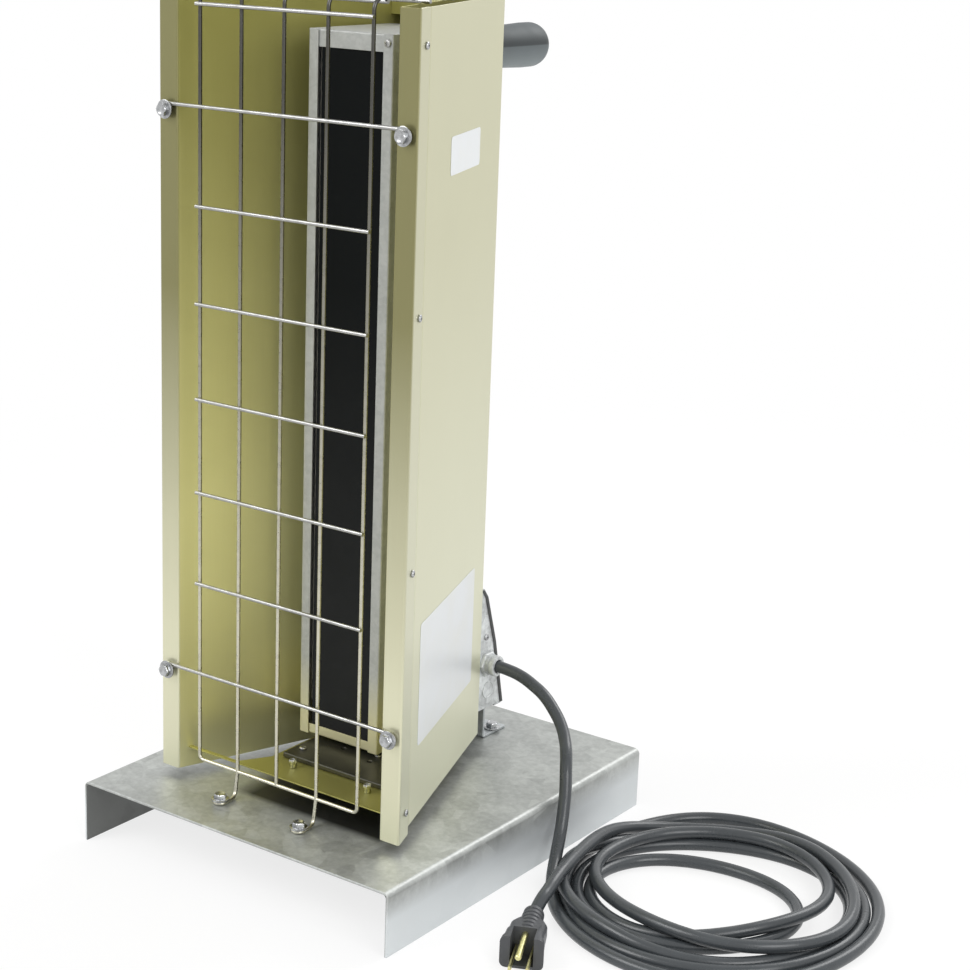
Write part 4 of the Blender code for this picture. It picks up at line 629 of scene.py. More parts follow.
def gold_finish(name, c):
    """Satin gold sheet with painted light: darker at the top and paler lower down, the post fronts in their
    own painted reflection, and pale outer returns.
    """
    sizes, shape = bpy.context.scene.heater_tower, TowerPlan(bpy.context.scene.heater_tower)
    finish = Finish(name)
    lines, cloud = rolling(finish)
    # painted shade at the top and painted light lower down, on the walls and on the post fronts
    walls = finish.lowered(c.gold, c.lit_low_gold, GOLD_LIGHT_FADE, cloud)
    posts = finish.lowered(c.post, c.lit_low_post, POST_LIGHT_FADE, cloud)
    returns = finish.lowered(c.cover, c.low_cover, COVER_FADE, cloud)
    outer = sizes.front_half - 4 * sizes.sheet
    tone = finish.blend(finish.contrast(shape.reach(finish), outer, outer + sizes.sheet), walls, returns)
    near, far = sizes.front + 0.5 * sizes.sheet, sizes.front + 2 * sizes.sheet
    behind = finish.contrast(finish.along(1), near, far)
    # the post fronts take a darker painted reflection than the walls behind them
    tone = finish.blend(behind, posts, tone)
    grain = finish.blend(lines * 0.5 + cloud * 0.5, (0.90, 0.90, 0.90), (1.0, 1.0, 1.0))
    tint = finish.node("ShaderNodeVectorMath", {"operation": "MULTIPLY"}, {0: tone, 1: grain})
    return finish.shader(tint, 0.32 + lines * 0.12, 0.75, lines, 0.00002)


def plated_finish(name, shade, rough, dull=0.62, low_shade=None):
    """Bright zinc plating on wire and screws, with dull patches."""
    finish = Finish(name)
    patch = finish.contrast(finish.noise(160, 4, 0.6), 0.35, 0.75)
    tint = finish.blend(patch, shade, darker(shade, dull))
    # a lower tone, which the columns use for their painted reflection
    if low_shade is not None:
        tint = finish.lowered(tint, low_shade, COLUMN_LIGHT_FADE, patch)
    return finish.shader(tint, rough + patch * 0.16, 1.0, finish.noise(1400, 2), 0.00003)


def painted_finish(name, shade, rough, metallic=0.0, shine=0.5, low_shade=None):
    """Paint or moulded plastic with a fine even texture and a few worn patches."""
    finish = Finish(name)
    wear = finish.contrast(finish.noise(60, 5, 0.62), 0.45, 0.85)
    tint = finish.blend(wear * 0.5, shade, darker(shade, 1.45))
    # a lower tone, which the emitter face uses for its painted reflection of the floor
    if low_shade is not None:
        tint = finish.lowered(tint, low_shade, FACE_REFLECTION_FADE, wear)
    steady = {"Specular IOR Level": shine}
    return finish.shader(tint, rough + wear * 0.12, metallic, finish.noise(1500, 2), 0.00005, **steady)


def rubber_finish(name, shade):
    """Smooth rubber with a dusty bloom."""
    finish = Finish(name)
    bloom = finish.contrast(finish.noise(40, 4, 0.6), 0.35, 0.8)
    tint = finish.blend(bloom * 0.6, shade, darker(shade, 1.35))
    return finish.shader(tint, 0.24 + bloom * 0.12, 0.0, finish.noise(700, 3), 0.00004)


def grip_finish(name, shade):
    """Rubber of a lying grip with painted light: lighter on top, dark at its side, and a paler painted
    reflection below its mould line.
    """
    finish = Finish(name)
    bloom = finish.contrast(finish.noise(40, 4, 0.6), 0.35, 0.8)
    up = finish.along(1) / GRIP_RADIUS
    # painted light: lighter towards the top
    upper = finish.blend(finish.contrast(up, 0.25, 1.0), shade, darker(shade, 2.3))
    # painted reflection of the floor: paler underneath
    under = finish.blend(finish.contrast(up, 0.0, -0.9), darker(shade, 2.6), darker(shade, 4.8))
    tint = finish.blend(finish.contrast(up, 0.10, 0.04), upper, under)
    dull = {"Specular IOR Level": 0.25}
    return finish.shader(tint, 0.46 + bloom * 0.14, 0.0, finish.noise(700, 3), 0.00006, **dull)


def board_finish(name, shade):
    """Pressed fibre board."""
    finish = Finish(name)
    fibre = finish.noise(1.0, 4, 0.7, (500, 60, 500))
    tint = finish.blend(fibre, darker(shade, 0.8), shade)
    return finish.shader(tint, 0.9, 0.0, fibre, 0.0003)


def paper_finish(name, shade):
    """Coated label stock, a little yellowed in patches."""
    finish = Finish(name)
    age = finish.contrast(finish.noise(30, 3), 0.4, 0.8)
    warm = (shade[0], shade[1] * 0.985, shade[2] * 0.93)
    return finish.shader(finish.blend(age, shade, warm), 0.34 + age * 0.08)


# how each finish is made, from its name and the heater's colours
FINISH_MAKERS = {
    "galvanised": lambda name, c: zinc_finish(name, c.zinc),
    "box_zinc": lambda name, c: zinc_finish(name, c.box, 90, 0.45, (0.66, 1.34)),
    # the dark rims: the cover's edge, with painted shadow in the gap beside it
    "rim_shadow_zinc": lambda name, c: zinc_finish(name, darker(c.box, 0.10), 90, 0.45),
    "frame_sheet": lambda name, c: zinc_finish(name, c.frame, 320, 0.4, (0.88, 1.10), c.low_frame),
    "base_zinc": lambda name, c: base_finish(name, c.base, c.flange),
    "floor_gold": lambda name, c: rolled_finish(name, c.floor),
    "pale_gold_cover": lambda name, c: rolled_finish(name, c.cover, c.low_cover),
    "gold_sheet": gold_finish,
    "bright_zinc": lambda name, c: plated_finish(name, c.bright, 0.18, 0.30),
    "lit_row_wire": lambda name, c: plated_finish(name, c.wire, 0.26, 0.75),
    "shaded_column_wire": lambda name, c: plated_finish(name, c.column, 0.24, 0.75, c.lit_low_column),
    "steel": lambda name, c: plated_finish(name, c.steel, 0.30),
    "brass": lambda name, c: plated_finish(name, c.brass, 0.26),
    "black_panel": lambda name, c: painted_finish(name, c.panel, 0.5, shine=0.08, low_shade=c.low_panel_reflection),
    "dark_plate": lambda name, c: painted_finish(name, c.plate, 0.36, metallic=0.5),
    "black_plastic": lambda name, c: painted_finish(name, c.plastic, 0.40),
    "grey_rubber": lambda name, c: grip_finish(name, c.grip),
    "cord_jacket": lambda name, c: rubber_finish(name, c.cord),
    "insulation": lambda name, c: board_finish(name, c.board),
    "label": lambda name, c: paper_finish(name, c.label),
}


def finish_of(context, name):
    """The material of a finish, made the first time it is asked for."""
    made = bpy.data.materials.get(f"{name}_finish")
    return made or FINISH_MAKERS[name](name, context.scene.heater_colours)


def new_piece(context, name, data, finish, replaces=(), edge=0.0, place=None):
    """Add a piece to the scene, round its edges, and give it its finish and its body, the heater's."""
    piece = bpy.data.objects.new(name, data)
    context.scene.collection.objects.link(piece)
    piece.matrix_world = HOME @ (place or Matrix())
    if not data.materials:
        data.materials.append(finish_of(context, finish))
    if piece.type == "MESH":
        data.shade_smooth()
        data.set_sharp_from_angle(angle=SMOOTH_ANGLE)
    if edge:
        soften_edges(piece, edge)
    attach(piece, "heater")
    if replaces:
        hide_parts(*replaces)
    return piece


def soften_edges(piece, edge):
    """Round the sharp edges of a piece, and keep its large faces flat to the eye."""
    bevel = piece.modifiers.new("edges", "BEVEL")
    bevel.width = edge
    bevel.segments = 2
    bevel.limit_method = "ANGLE"
    bevel.angle_limit = EDGE_ANGLE
    even = piece.modifiers.new("even_normals", "WEIGHTED_NORMAL")
    even.keep_sharp = True


def coat_nodes(context, finish, *nodes, edge=0.0):
    """Give CAD nodes that stay in view their finish."""
    for node in nodes:
        piece = bpy.data.objects[node]
        piece.data.materials.clear()
        piece.data.materials.append(finish_of(context, finish))
        if edge:
            weld = piece.modifiers.new("weld", "WELD")
            weld.merge_threshold = WELD_GAP
            soften_edges(piece, edge)


def plan(x, y, z):
    """A profile drawn in plan and drawn out upwards."""
    return (x, y, z)


def plan_mirrored(x, y, z):
    """The same profile on the heater's other side."""
    return (-x, y, z)


def section(y, z, x):
    """A profile drawn in the side view and drawn out across the heater."""
    return (x, y, z)


def front_view(x, z, y):
    """A profile drawn from the front and drawn out backwards."""
    return (x, y, z)


SIDES = (("left", -1, plan_mirrored), ("right", 1, plan))


def mesh_of(build):
    """A mesh from a function that fills a bmesh."""
    work = bmesh.new()
    build(work)
    bmesh.ops.recalc_face_normals(work, faces=work.faces)
    mesh = bpy.data.meshes.new("shape")
    work.to_mesh(mesh)
    work.free()
    return mesh


def sheet_mesh(points, thickness, radius, place, low, high, steps=BEND_STEPS):
    """A bent sheet: a line of points with rounded bends, drawn out from low to high.

    The sheet lies to the right of the line's direction of travel. The radius is that of the inside of
    a bend.
    """
    points = [Vector(point) for point in points]
    face, back = [], []

    def add(point, ahead):
        face.append(point)
        back.append(point + Vector((ahead.y, -ahead.x)) * thickness)

    add(points[0], (points[1] - points[0]).normalized())
    for before, corner, after in zip(points, points[1:], points[2:]):
        ahead = (corner - before).normalized()
        onward = (after - corner).normalized()
        turn = math.atan2(ahead.x * onward.y - ahead.y * onward.x, ahead.dot(onward))
        bend = radius + (thickness if turn < 0 else 0)
        start = corner - ahead * bend * math.tan(abs(turn) / 2)
        centre = start + Vector((-ahead.y, ahead.x)) * math.copysign(bend, turn)
        for k in range(steps + 1):
            spin = Matrix.Rotation(turn * k / steps, 2)
            add(centre + spin @ (start - centre), spin @ ahead)
    add(points[-1], (points[-1] - points[-2]).normalized())

    def build(work):
        rows = []
        for level in (low, high):
            for line in (face, back):
                rows.append([work.verts.new(place(*point, level)) for point in line])
        for a, b in ((0, 1), (2, 3), (0, 2), (1, 3)):
            for k in range(len(face) - 1):
                work.faces.new((rows[a][k], rows[a][k + 1], rows[b][k + 1], rows[b][k]))
        for k in (0, -1):
            work.faces.new((rows[0][k], rows[1][k], rows[3][k], rows[2][k]))

    return mesh_of(build)


def plate_mesh(outline, place, low, high):
    """A flat plate from an outline, drawn out from low to high."""

    def build(work):
        lower = [work.verts.new(place(*point, low)) for point in outline]
        upper = [work.verts.new(place(*point, high)) for point in outline]
        work.faces.new(lower)
        work.faces.new(upper)
        for k in range(len(outline)):
            work.faces.new((lower[k - 1], lower[k], upper[k], upper[k - 1]))

    return mesh_of(build)


def round_rectangle(low, high, radius, steps=6):
    """The outline of a rectangle with rounded corners."""
    (x0, y0), (x1, y1) = low, high
    left, right, lower, upper = x0 + radius, x1 - radius, y0 + radius, y1 - radius
    centres = ((right, upper), (left, upper), (left, lower), (right, lower))
    outline = []
    for corner, (x, y) in enumerate(centres):
        for k in range(steps + 1):
            turn = math.pi / 2 * (corner + k / steps)
            outline.append((x + radius * math.cos(turn), y + radius * math.sin(turn)))
    return outline


def ring_radius(radius, sides, turn):
    """The radius of a round or many-sided ring at an angle. A many-sided one's radius is to its corners."""
    if not sides:
        return radius
    half = math.pi / sides
    return radius * math.cos(half) / math.cos(turn % (2 * half) - half)


def turned_mesh(profile, steps=ROUND_STEPS):
    """A solid turned about Z, from (radius, height) or (radius, height, sides) points, the top first."""

    def build(work):
        rows = []
        for radius, height, *sides in profile:
            if radius == 0:
                rows.append([work.verts.new((0, 0, height))] * steps)
                continue
            row = []
            for k in range(steps):
                turn = 2 * math.pi * k / steps
                reach = ring_radius(radius, sides[0] if sides else 0, turn)
                row.append(work.verts.new((reach * math.cos(turn), reach * math.sin(turn), height)))
            rows.append(row)
        for upper, lower in zip(rows, rows[1:]):
            for k in range(steps):
                corners = [upper[k - 1], upper[k], lower[k], lower[k - 1]]
                kept = [corner for n, corner in enumerate(corners) if corner not in corners[:n]]
                if len(kept) > 2:
                    work.faces.new(kept)

    return mesh_of(build)


def put_box(work, low, high):
    """Add a box between two corners to a bmesh."""
    low, high = Vector(low), Vector(high)
    spread = Matrix.Diagonal((*(high - low), 1))
    bmesh.ops.create_cube(work, size=1, matrix=Matrix.Translation((low + high) / 2) @ spread)


def put_rod(work, start, end, radius):
    """Add a cylinder between two points to a bmesh."""
    turn = (end - start).to_track_quat("Z", "Y").to_matrix().to_4x4()
    spot = Matrix.Translation((start + end) / 2) @ turn
    length = (end - start).length
    bmesh.ops.create_cone(
        work, cap_ends=True, segments=HOLE_STEPS, radius1=radius, radius2=radius, depth=length, matrix=spot
    )


def combined(mesh, operation, *others):
    """A mesh cut by, or joined with, other closed meshes."""
    blank = bpy.data.objects.new("blank", mesh)
    bpy.context.scene.collection.objects.link(blank)
    tools = []
    for other in others:
        tool = bpy.data.objects.new("tool", other)
        bpy.context.scene.collection.objects.link(tool)
        step = blank.modifiers.new("step", "BOOLEAN")
        step.operation = operation
        step.object = tool
        tools.append(tool)
    shown = blank.evaluated_get(bpy.context.evaluated_depsgraph_get())
    made = bpy.data.meshes.new_from_object(shown)
    for used in (*tools, blank):
        bpy.data.objects.remove(used)
    return made


def bored(mesh, spots, heading, radius):
    """A sheet with round holes through points of it, all along one heading."""
    reach = Vector(heading) * OVERRUN

    def build(work):
        for spot in spots:
            put_rod(work, Vector(spot) - reach, Vector(spot) + reach, radius)

    return combined(mesh, "DIFFERENCE", mesh_of(build))


def facing(where, towards):
    """The place of a turned piece whose axis points towards, with its foot at where."""
    return Matrix.Translation(where) @ Vector(towards).to_track_quat("Z", "Y").to_matrix().to_4x4()


def set_screw(context, name, mesh, where, towards, replaced=(), finish="bright_zinc"):
    """Put a screw in its place, with its seat at where and its head facing towards."""
    new_piece(context, name, mesh, finish, replaced, place=facing(where, towards))


def hex_screw_mesh():
    """A hexagon screw with a turned washer face, chamfered head and a dished top."""
    foot, top = HEX["washer_height"], HEX["washer_height"] + HEX["height"]
    head, washer, shank = HEX["head"], HEX["washer"], HEX["shank"]
    dish, rounding, edge = HEX["dish"], HEX["rounding"], HEX["edge"]
    flat = head * math.cos(math.pi / 6)
    profile = (
        (0, top - dish),
        (flat * 0.55, top - dish),
        (flat * 0.72, top - edge / 2),
        (flat * 0.80, top),
        (flat * 0.94, top),
        (head * 0.985, top - rounding, 6),
        (head, top - HEX["chamfer"], 6),
        (head, foot + edge, 6),
        (head + 2 * edge, foot),
        (washer - rounding, foot),
        (washer - edge / 2, foot - edge),
        (washer, foot - rounding),
        (washer, edge),
        (washer - edge, 0),
        (shank, 0),
        (shank, -HEX["length"]),
        (0, -HEX["length"]),
    )
    return turned_mesh(profile)


def pan_screw_mesh(length=PAN["length"]):
    """A pan head screw with a cross recess."""
    radius, height, shank, edge = PAN["head"], PAN["height"], PAN["shank"], 0.0001
    crown = [(radius * math.sin(t), height * (0.45 + 0.55 * math.cos(t))) for t in quarter_turn(6)]
    profile = (*crown, (radius, edge), (radius - edge, 0), (shank, 0), (shank, -length), (0, -length))

    def recess(work, turned):
        reach, half = radius * 0.58, PAN["slot"] / 2
        low = (-reach, -half, height - PAN["slot_depth"])
        high = (reach, half, height + OVERRUN)
        if turned:
            low, high = (low[1], low[0], low[2]), (high[1], high[0], high[2])
        put_box(work, low, high)

    cuts = [mesh_of(lambda work, turned=turned: recess(work, turned)) for turned in (False, True)]
    return combined(turned_mesh(profile, SMALL_STEPS), "DIFFERENCE", *cuts)


class TowerPlan:
    """Points of the tower in plan, worked out from its sizes."""

    def __init__(self, sizes):
        self.sizes = sizes
        self.rear = sizes.front + sizes.depth
        self.slant = Vector((sizes.rear_half - sizes.front_half, sizes.depth)).normalized()
        self.outward = Vector((self.slant.y, -self.slant.x))
        self.length = math.hypot(sizes.front_half - sizes.rear_half, sizes.depth)

    def on_slant(self, along, inset=0.0):
        """A point of the right side: its distance back from the front corner and its inset."""
        corner = Vector((self.sizes.front_half, self.sizes.front))
        return corner + self.slant * along - self.outward * inset

    def wall_x(self, y):
        """The inner face of the right reflector wall at a depth."""
        start = self.sizes.front_half - self.sizes.post
        return start + self.slant.x / self.slant.y * (y - self.sizes.front)

    def reach(self, finish):
        """In a finish: half the tower's width at the front, if its wall went through this point."""
        taper = -self.slant.x / self.slant.y
        return finish.maths("ABSOLUTE", finish.along(0), 0) + (finish.along(1) - self.sizes.front) * taper

    def side_places(self, sign, along, out=0.0):
        """The side screws' places on one side, at a distance back from its front corner."""
        spot = self.on_slant(along, -out)
        heights = [self.sizes.screw_foot + k * self.sizes.screw_pitch for k in range(self.sizes.screws)]
        return [(sign * spot.x, spot.y, z) for z in heights]


def guard_lines(guard, tower):
    """The guard's columns, rows, planes and screw places."""
    row_y = tower.front - SEAT_GAP - guard.wire / 2
    hook = HEX["shank"] + SEAT_GAP + guard.wire / 2
    rows = [guard.first_row + k * guard.row_pitch for k in range(guard.rows)]
    columns = [k * guard.column_pitch for k in (-2, -1, 0, 1, 2)]
    return {
        "row_y": row_y,
        "column_y": row_y + guard.wire - guard.bite,
        "hook": hook,
        "rows": rows,
        "columns": columns,
        "screw_x": tower.front_half - guard.screw_inset,
        "screw_rows": [rows[1] - hook, rows[-2] - hook],
        "screw_seat": row_y - guard.wire / 2 - SEAT_GAP,
        "bar_z": tower.top + SEAT_GAP + guard.wire / 2,
        "top_z": tower.top + SEAT_GAP + guard.wire / 2 + guard.wire - guard.bite,
        "foot_y": tower.front - guard.foot_out,
        "foot_x": [columns[1] - guard.foot_shift, columns[-2] - guard.foot_shift],
    }


class HEATER_OT_base(Operator):
    """Build the folded base plate"""

    bl_idname = "heater.base"
    bl_label = "Base"

    def execute(self, context):
        base, box = context.scene.heater_base, context.scene.heater_box
        guard = guard_lines(context.scene.heater_guard, context.scene.heater_tower)
        half, deep, top = base.width / 2, base.depth / 2, base.height
        line = ((-half, 0), (-half, top), (half, top), (half, 0))
        mesh = sheet_mesh(line, base.sheet, base.bend, front_view, -deep, deep, 8)
        spots = [(x, guard["foot_y"], top) for x in guard["foot_x"]]
        spots += [(sign * box.bolt_x, box.back + box.bolt_back, top) for sign in (-1, 1)]
        mesh = bored(mesh, spots, (0, 0, 1), HEX["shank"] + HOLE_CLEARANCE)
        low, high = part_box("tip_plunger")
        plunger = HOME.inverted() @ ((low + high) / 2)
        mesh = bored(mesh, [(plunger.x, plunger.y, top)], (0, 0, 1), PLUNGER_BORE)
        new_piece(context, "base", mesh, "base_zinc", ("base_plate",), edge=BASE_EDGE)
        return {"FINISHED"}


class HEATER_OT_tower(Operator):
    """Build the reflector's two sides, their outer covers, and the screws in them"""

    bl_idname = "heater.tower"
    bl_label = "Reflector tower"

    def execute(self, context):
        tower = context.scene.heater_tower
        shape = TowerPlan(tower)
        for side, sign, place in SIDES:
            self.reflector(context, shape, side, sign, place)
            self.cover(context, shape, side, sign, place)
        screw, short, out = pan_screw_mesh(), pan_screw_mesh(PAN["rear"]), shape.outward
        first, last = tower.bottom + tower.rear_screw_end, tower.top - tower.rear_screw_end
        back = shape.rear + tower.sheet + 2 * SEAT_GAP
        for side, sign, _ in SIDES:
            for k, where in enumerate(shape.side_places(sign, tower.screw_back, SEAT_GAP), 1):
                name = f"side_screw_{side}_{k}"
                set_screw(context, f"{name}_cross", screw, where, (sign * out.x, out.y, 0), (name,))
            for k in range(tower.rear_screws):
                z = first + k * (last - first) / (tower.rear_screws - 1)
                where = (sign * tower.rear_screw_x, back, z)
                set_screw(context, f"rear_screw_{side}_{k + 1}", short, where, (0, 1, 0))
        coat_nodes(context, "pale_gold_cover", "rear_cover", edge=SHEET_EDGE)
        coat_nodes(context, "gold_sheet", "rear_top_cap", edge=SHEET_EDGE)
        return {"FINISHED"}

    def reflector(self, context, shape, side, sign, place):
        tower = shape.sizes
        back = shape.rear - tower.sheet - SEAT_GAP
        line = (
            shape.on_slant(tower.return_depth),
            (tower.front_half, tower.front),
            (tower.front_half - tower.post, tower.front),
            (shape.wall_x(back), back),
        )
        mesh = sheet_mesh(line, tower.sheet, tower.bend, place, tower.bottom, tower.top)
        guard = guard_lines(context.scene.heater_guard, tower)
        spots = [(sign * guard["screw_x"], tower.front, z) for z in guard["screw_rows"]]
        mesh = bored(mesh, spots, (0, 1, 0), HEX["shank"] + HOLE_CLEARANCE)
        mesh = self.side_holes(mesh, shape, sign)
        new_piece(
            context, f"reflector_sheet_{side}", mesh, "gold_sheet", (f"reflector_{side}",), edge=SHEET_EDGE
        )

    def cover(self, context, shape, side, sign, place):
        tower = shape.sizes
        inset = tower.sheet + SEAT_GAP
        rear = shape.on_slant(shape.length)
        line = (
            (rear.x - tower.rear_flange, shape.rear),
            rear,
            shape.on_slant(tower.return_depth + tower.joggle),
            shape.on_slant(tower.return_depth + SEAT_GAP, inset),
            shape.on_slant(tower.tab, inset),
        )
        low = tower.bottom + tower.cover_inset
        mesh = sheet_mesh(line, tower.sheet, tower.cover_bend, place, low, tower.top, 4)
        mesh = self.side_holes(mesh, shape, sign)
        name = f"side_cover_{side}"
        new_piece(context, f"{name}_sheet", mesh, "pale_gold_cover", (name,), edge=SHEET_EDGE)

    def side_holes(self, mesh, shape, sign):
        """A sheet of one side, with the holes of its side screws."""
        spots, out = shape.side_places(sign, shape.sizes.screw_back), shape.outward
        return bored(mesh, spots, (-sign * out.x, -out.y, 0), PAN["shank"] + HOLE_CLEARANCE)


class HEATER_OT_labels(Operator):
    """Put the two blank label plates on the right side cover"""

    bl_idname = "heater.labels"
    bl_label = "Labels"

    def execute(self, context):
        shape = TowerPlan(context.scene.heater_tower)

        def place(along, z, out):
            spot = shape.on_slant(along, -out)
            return (spot.x, spot.y, z)

        for name, (low, high) in LABEL_CORNERS.items():
            mesh = plate_mesh(round_rectangle(low, high, LABEL_ROUNDING), place, *LABEL_FACES)
            new_piece(context, name, mesh, "label", edge=LABEL_EDGE)
        return {"FINISHED"}


class HEATER_OT_guard(Operator):
    """Bend the wires of the front guard and the top grille"""

    bl_idname = "heater.guard"
    bl_label = "Wire guard"

    def execute(self, context):
        guard, tower = context.scene.heater_guard, context.scene.heater_tower
        lines = guard_lines(guard, tower)
        first, last = lines["columns"][0], lines["columns"][-1]
        ends = (first - guard.overhang, last + guard.overhang)
        columns = [self.outer_loop(guard, lines)]
        columns += [self.inner_column(guard, lines, x) for x in lines["columns"][1:-1]]
        rows = []
        for k, z in enumerate(lines["rows"][1:], 1):
            if k in (1, guard.rows - 2):
                rows.append(self.long_row(lines, z))
            else:
                rows.append([Vector((x, lines["row_y"], z)) for x in ends])
        back = lines["column_y"] + guard.top_run - guard.wire
        rows.append([Vector((x, back, lines["bar_z"])) for x in ends])
        wire_piece(context, "front_guard", rows, guard.wire, ("wire_guard",), columns)
        wire_piece(context, "top_grille", self.grille(guard, tower, lines), guard.wire, ("top_guard",))
        return {"FINISHED"}

    def over_the_top(self, guard, lines, x, z_from):
        """A column's upper end, which bends back over the top edge of the tower."""
        radius, y, top = guard.top_bend, lines["column_y"], lines["top_z"]
        bend = arc3((x, y + radius, top - radius), (x, y, top - radius), -math.pi / 2, "X")
        return [Vector((x, y, z_from)), *bend, Vector((x, y + guard.top_run, top))]

    def outer_loop(self, guard, lines):
        """The two outer columns and the bottom row, bent from one wire."""
        z, r, y = lines["rows"][0], guard.corner, lines["column_y"]
        first, last = lines["columns"][0], lines["columns"][-1]
        left = self.over_the_top(guard, lines, first, z + r)
        right = self.over_the_top(guard, lines, last, z + r)
        corner_left = arc3((first + r, y, z + r), (first, y, z + r), -math.pi / 2, "Y")
        corner_right = arc3((last - r, y, z + r), (last - r, y, z), -math.pi / 2, "Y")
        return [*reversed(left[1:]), *corner_left, *corner_right, *right[1:]]

    def inner_column(self, guard, lines, x):
        """A middle column. All but the centre one run on below the guard to a hooked foot."""
        if abs(x) < guard.wire:
            return self.over_the_top(guard, lines, x, lines["rows"][0])
        base_top = bpy.context.scene.heater_base.height
        hook, floor_z = lines["hook"], base_top + SEAT_GAP + guard.wire / 2
        screw = Vector((x - guard.foot_shift, lines["foot_y"], floor_z))
        side = screw + Vector((hook, 2 * hook, 0))
        curl = arc3(screw, screw + Vector((hook, 0, 0)), -FOOT_HOOK_TURN, "Z", HOOK_STEPS)
        drop = Vector((x, lines["column_y"], lines["rows"][0]))
        floor = Vector((x, lines["column_y"] - guard.wire, floor_z))
        bend = rounded_route([drop, floor, side], 2 * guard.wire)
        upper = self.over_the_top(guard, lines, x, lines["rows"][1])
        return [*reversed(curl), *reversed(bend), *upper]

    def long_row(self, lines, z):
        """A row that reaches both posts and hooks over their screws."""
        screw_z, x, y = z - lines["hook"], lines["screw_x"], lines["row_y"]
        right = arc3((x, y, screw_z), (x, y, z), POST_HOOK_TURN, "Y", HOOK_STEPS)
        left = [Vector((-p.x, p.y, p.z)) for p in reversed(right)]
        return [*left, *right]

    def grille(self, guard, tower, lines):
        """The wires over the open top, from the guard's bent ends back to the rear cap."""
        start = lines["column_y"] + guard.top_run + SEAT_GAP
        end, knee, z = start + guard.top_length, start + guard.top_length / 2, lines["top_z"]
        columns = lines["columns"]
        wires = [[Vector((x, start, z)), Vector((x, end, z))] for x in columns[1:-1]]
        for x, tucked in ((columns[0], columns[1]), (columns[-1], columns[-2])):
            near = tucked + math.copysign(2 * guard.wire, x)
            wires.append(rounded_route([(x, start, z), (x, knee, z), (near, end, z)], guard.knee))
        shape = TowerPlan(tower)
        for k in range(guard.top_bars):
            y = start + guard.top_length * (k + 0.5) / guard.top_bars
            reach = shape.wall_x(y) + guard.bar_rest
            wires.append([Vector((-reach, y, lines["bar_z"])), Vector((reach, y, lines["bar_z"]))])
        return wires


def arc3(centre, start, turn, axis, steps=8):
    """Points of an arc from start about centre, by turn radians about axis."""
    centre, arm = Vector(centre), Vector(start) - Vector(centre)
    return [centre + Matrix.Rotation(turn * k / steps, 3, axis) @ arm for k in range(steps + 1)]


def rounded_route(corners, radius, steps=8):
    """A line through corners, with every bend rounded to a radius."""
    corners = [Vector(corner) for corner in corners]
    route = [corners[0]]
    for before, corner, after in zip(corners, corners[1:], corners[2:]):
        back, ahead = (before - corner).normalized(), (after - corner).normalized()
        opening = back.angle(ahead)
        start = corner + back * radius / math.tan(opening / 2)
        centre = corner + (back + ahead).normalized() * radius / math.sin(opening / 2)
        route += arc3(centre, start, math.pi - opening, ahead.cross(back), steps)
    return [*route, corners[-1]]


def wire_piece(context, name, rows, diameter, replaces, columns=()):
    """One piece of welded round wires."""
    curve = bpy.data.curves.new(name, "CURVE")
    curve.dimensions = "3D"
    curve.bevel_depth = diameter / 2
    curve.bevel_resolution = 4
    curve.use_fill_caps = True
    # rows and columns take a lit and a shaded copy of the plating, as painted reflection
    for finish in ("lit_row_wire", "shaded_column_wire"):
        curve.materials.append(finish_of(context, finish))
    for points in (*rows, *columns):
        line = curve.splines.new("POLY")
        line.material_index = int(any(points is column for column in columns))
        line.points.add(len(points) - 1)
        for point, spot in zip(line.points, points):
            point.co = (*spot, 1)
        line.use_smooth = True
    return new_piece(context, name, curve, "bright_zinc", replaces)


class HEATER_OT_hex_screws(Operator):
    """Set the hexagon screws of the guard, its feet and the rear bracket"""

    bl_idname = "heater.hex_screws"
    bl_label = "Hexagon screws"

    def execute(self, context):
        guard, tower = context.scene.heater_guard, context.scene.heater_tower
        base, box = context.scene.heater_base, context.scene.heater_box
        lines = guard_lines(guard, tower)
        mesh = hex_screw_mesh()
        on_foot = base.height + guard.wire + 2 * SEAT_GAP
        on_bracket = base.height + box.bracket_sheet + 2 * SEAT_GAP
        for side, sign, foot in (("left", -1, lines["foot_x"][0]), ("right", 1, lines["foot_x"][1])):
            for level, z in zip(("lower", "upper"), lines["screw_rows"]):
                name = f"guard_screw_{side}_{level}"
                where = (sign * lines["screw_x"], lines["screw_seat"], z)
                set_screw(context, f"{name}_hex", mesh, where, (0, -1, 0), (name,))
            places = {
                f"guard_foot_screw_{side}": (foot, lines["foot_y"], on_foot),
                f"bracket_bolt_{side}": (sign * box.bolt_x, box.back + box.bolt_back, on_bracket),
            }
            for name, where in places.items():
                set_screw(context, f"{name}_hex", mesh, where, (0, 0, 1), (name,))
        return {"FINISHED"}


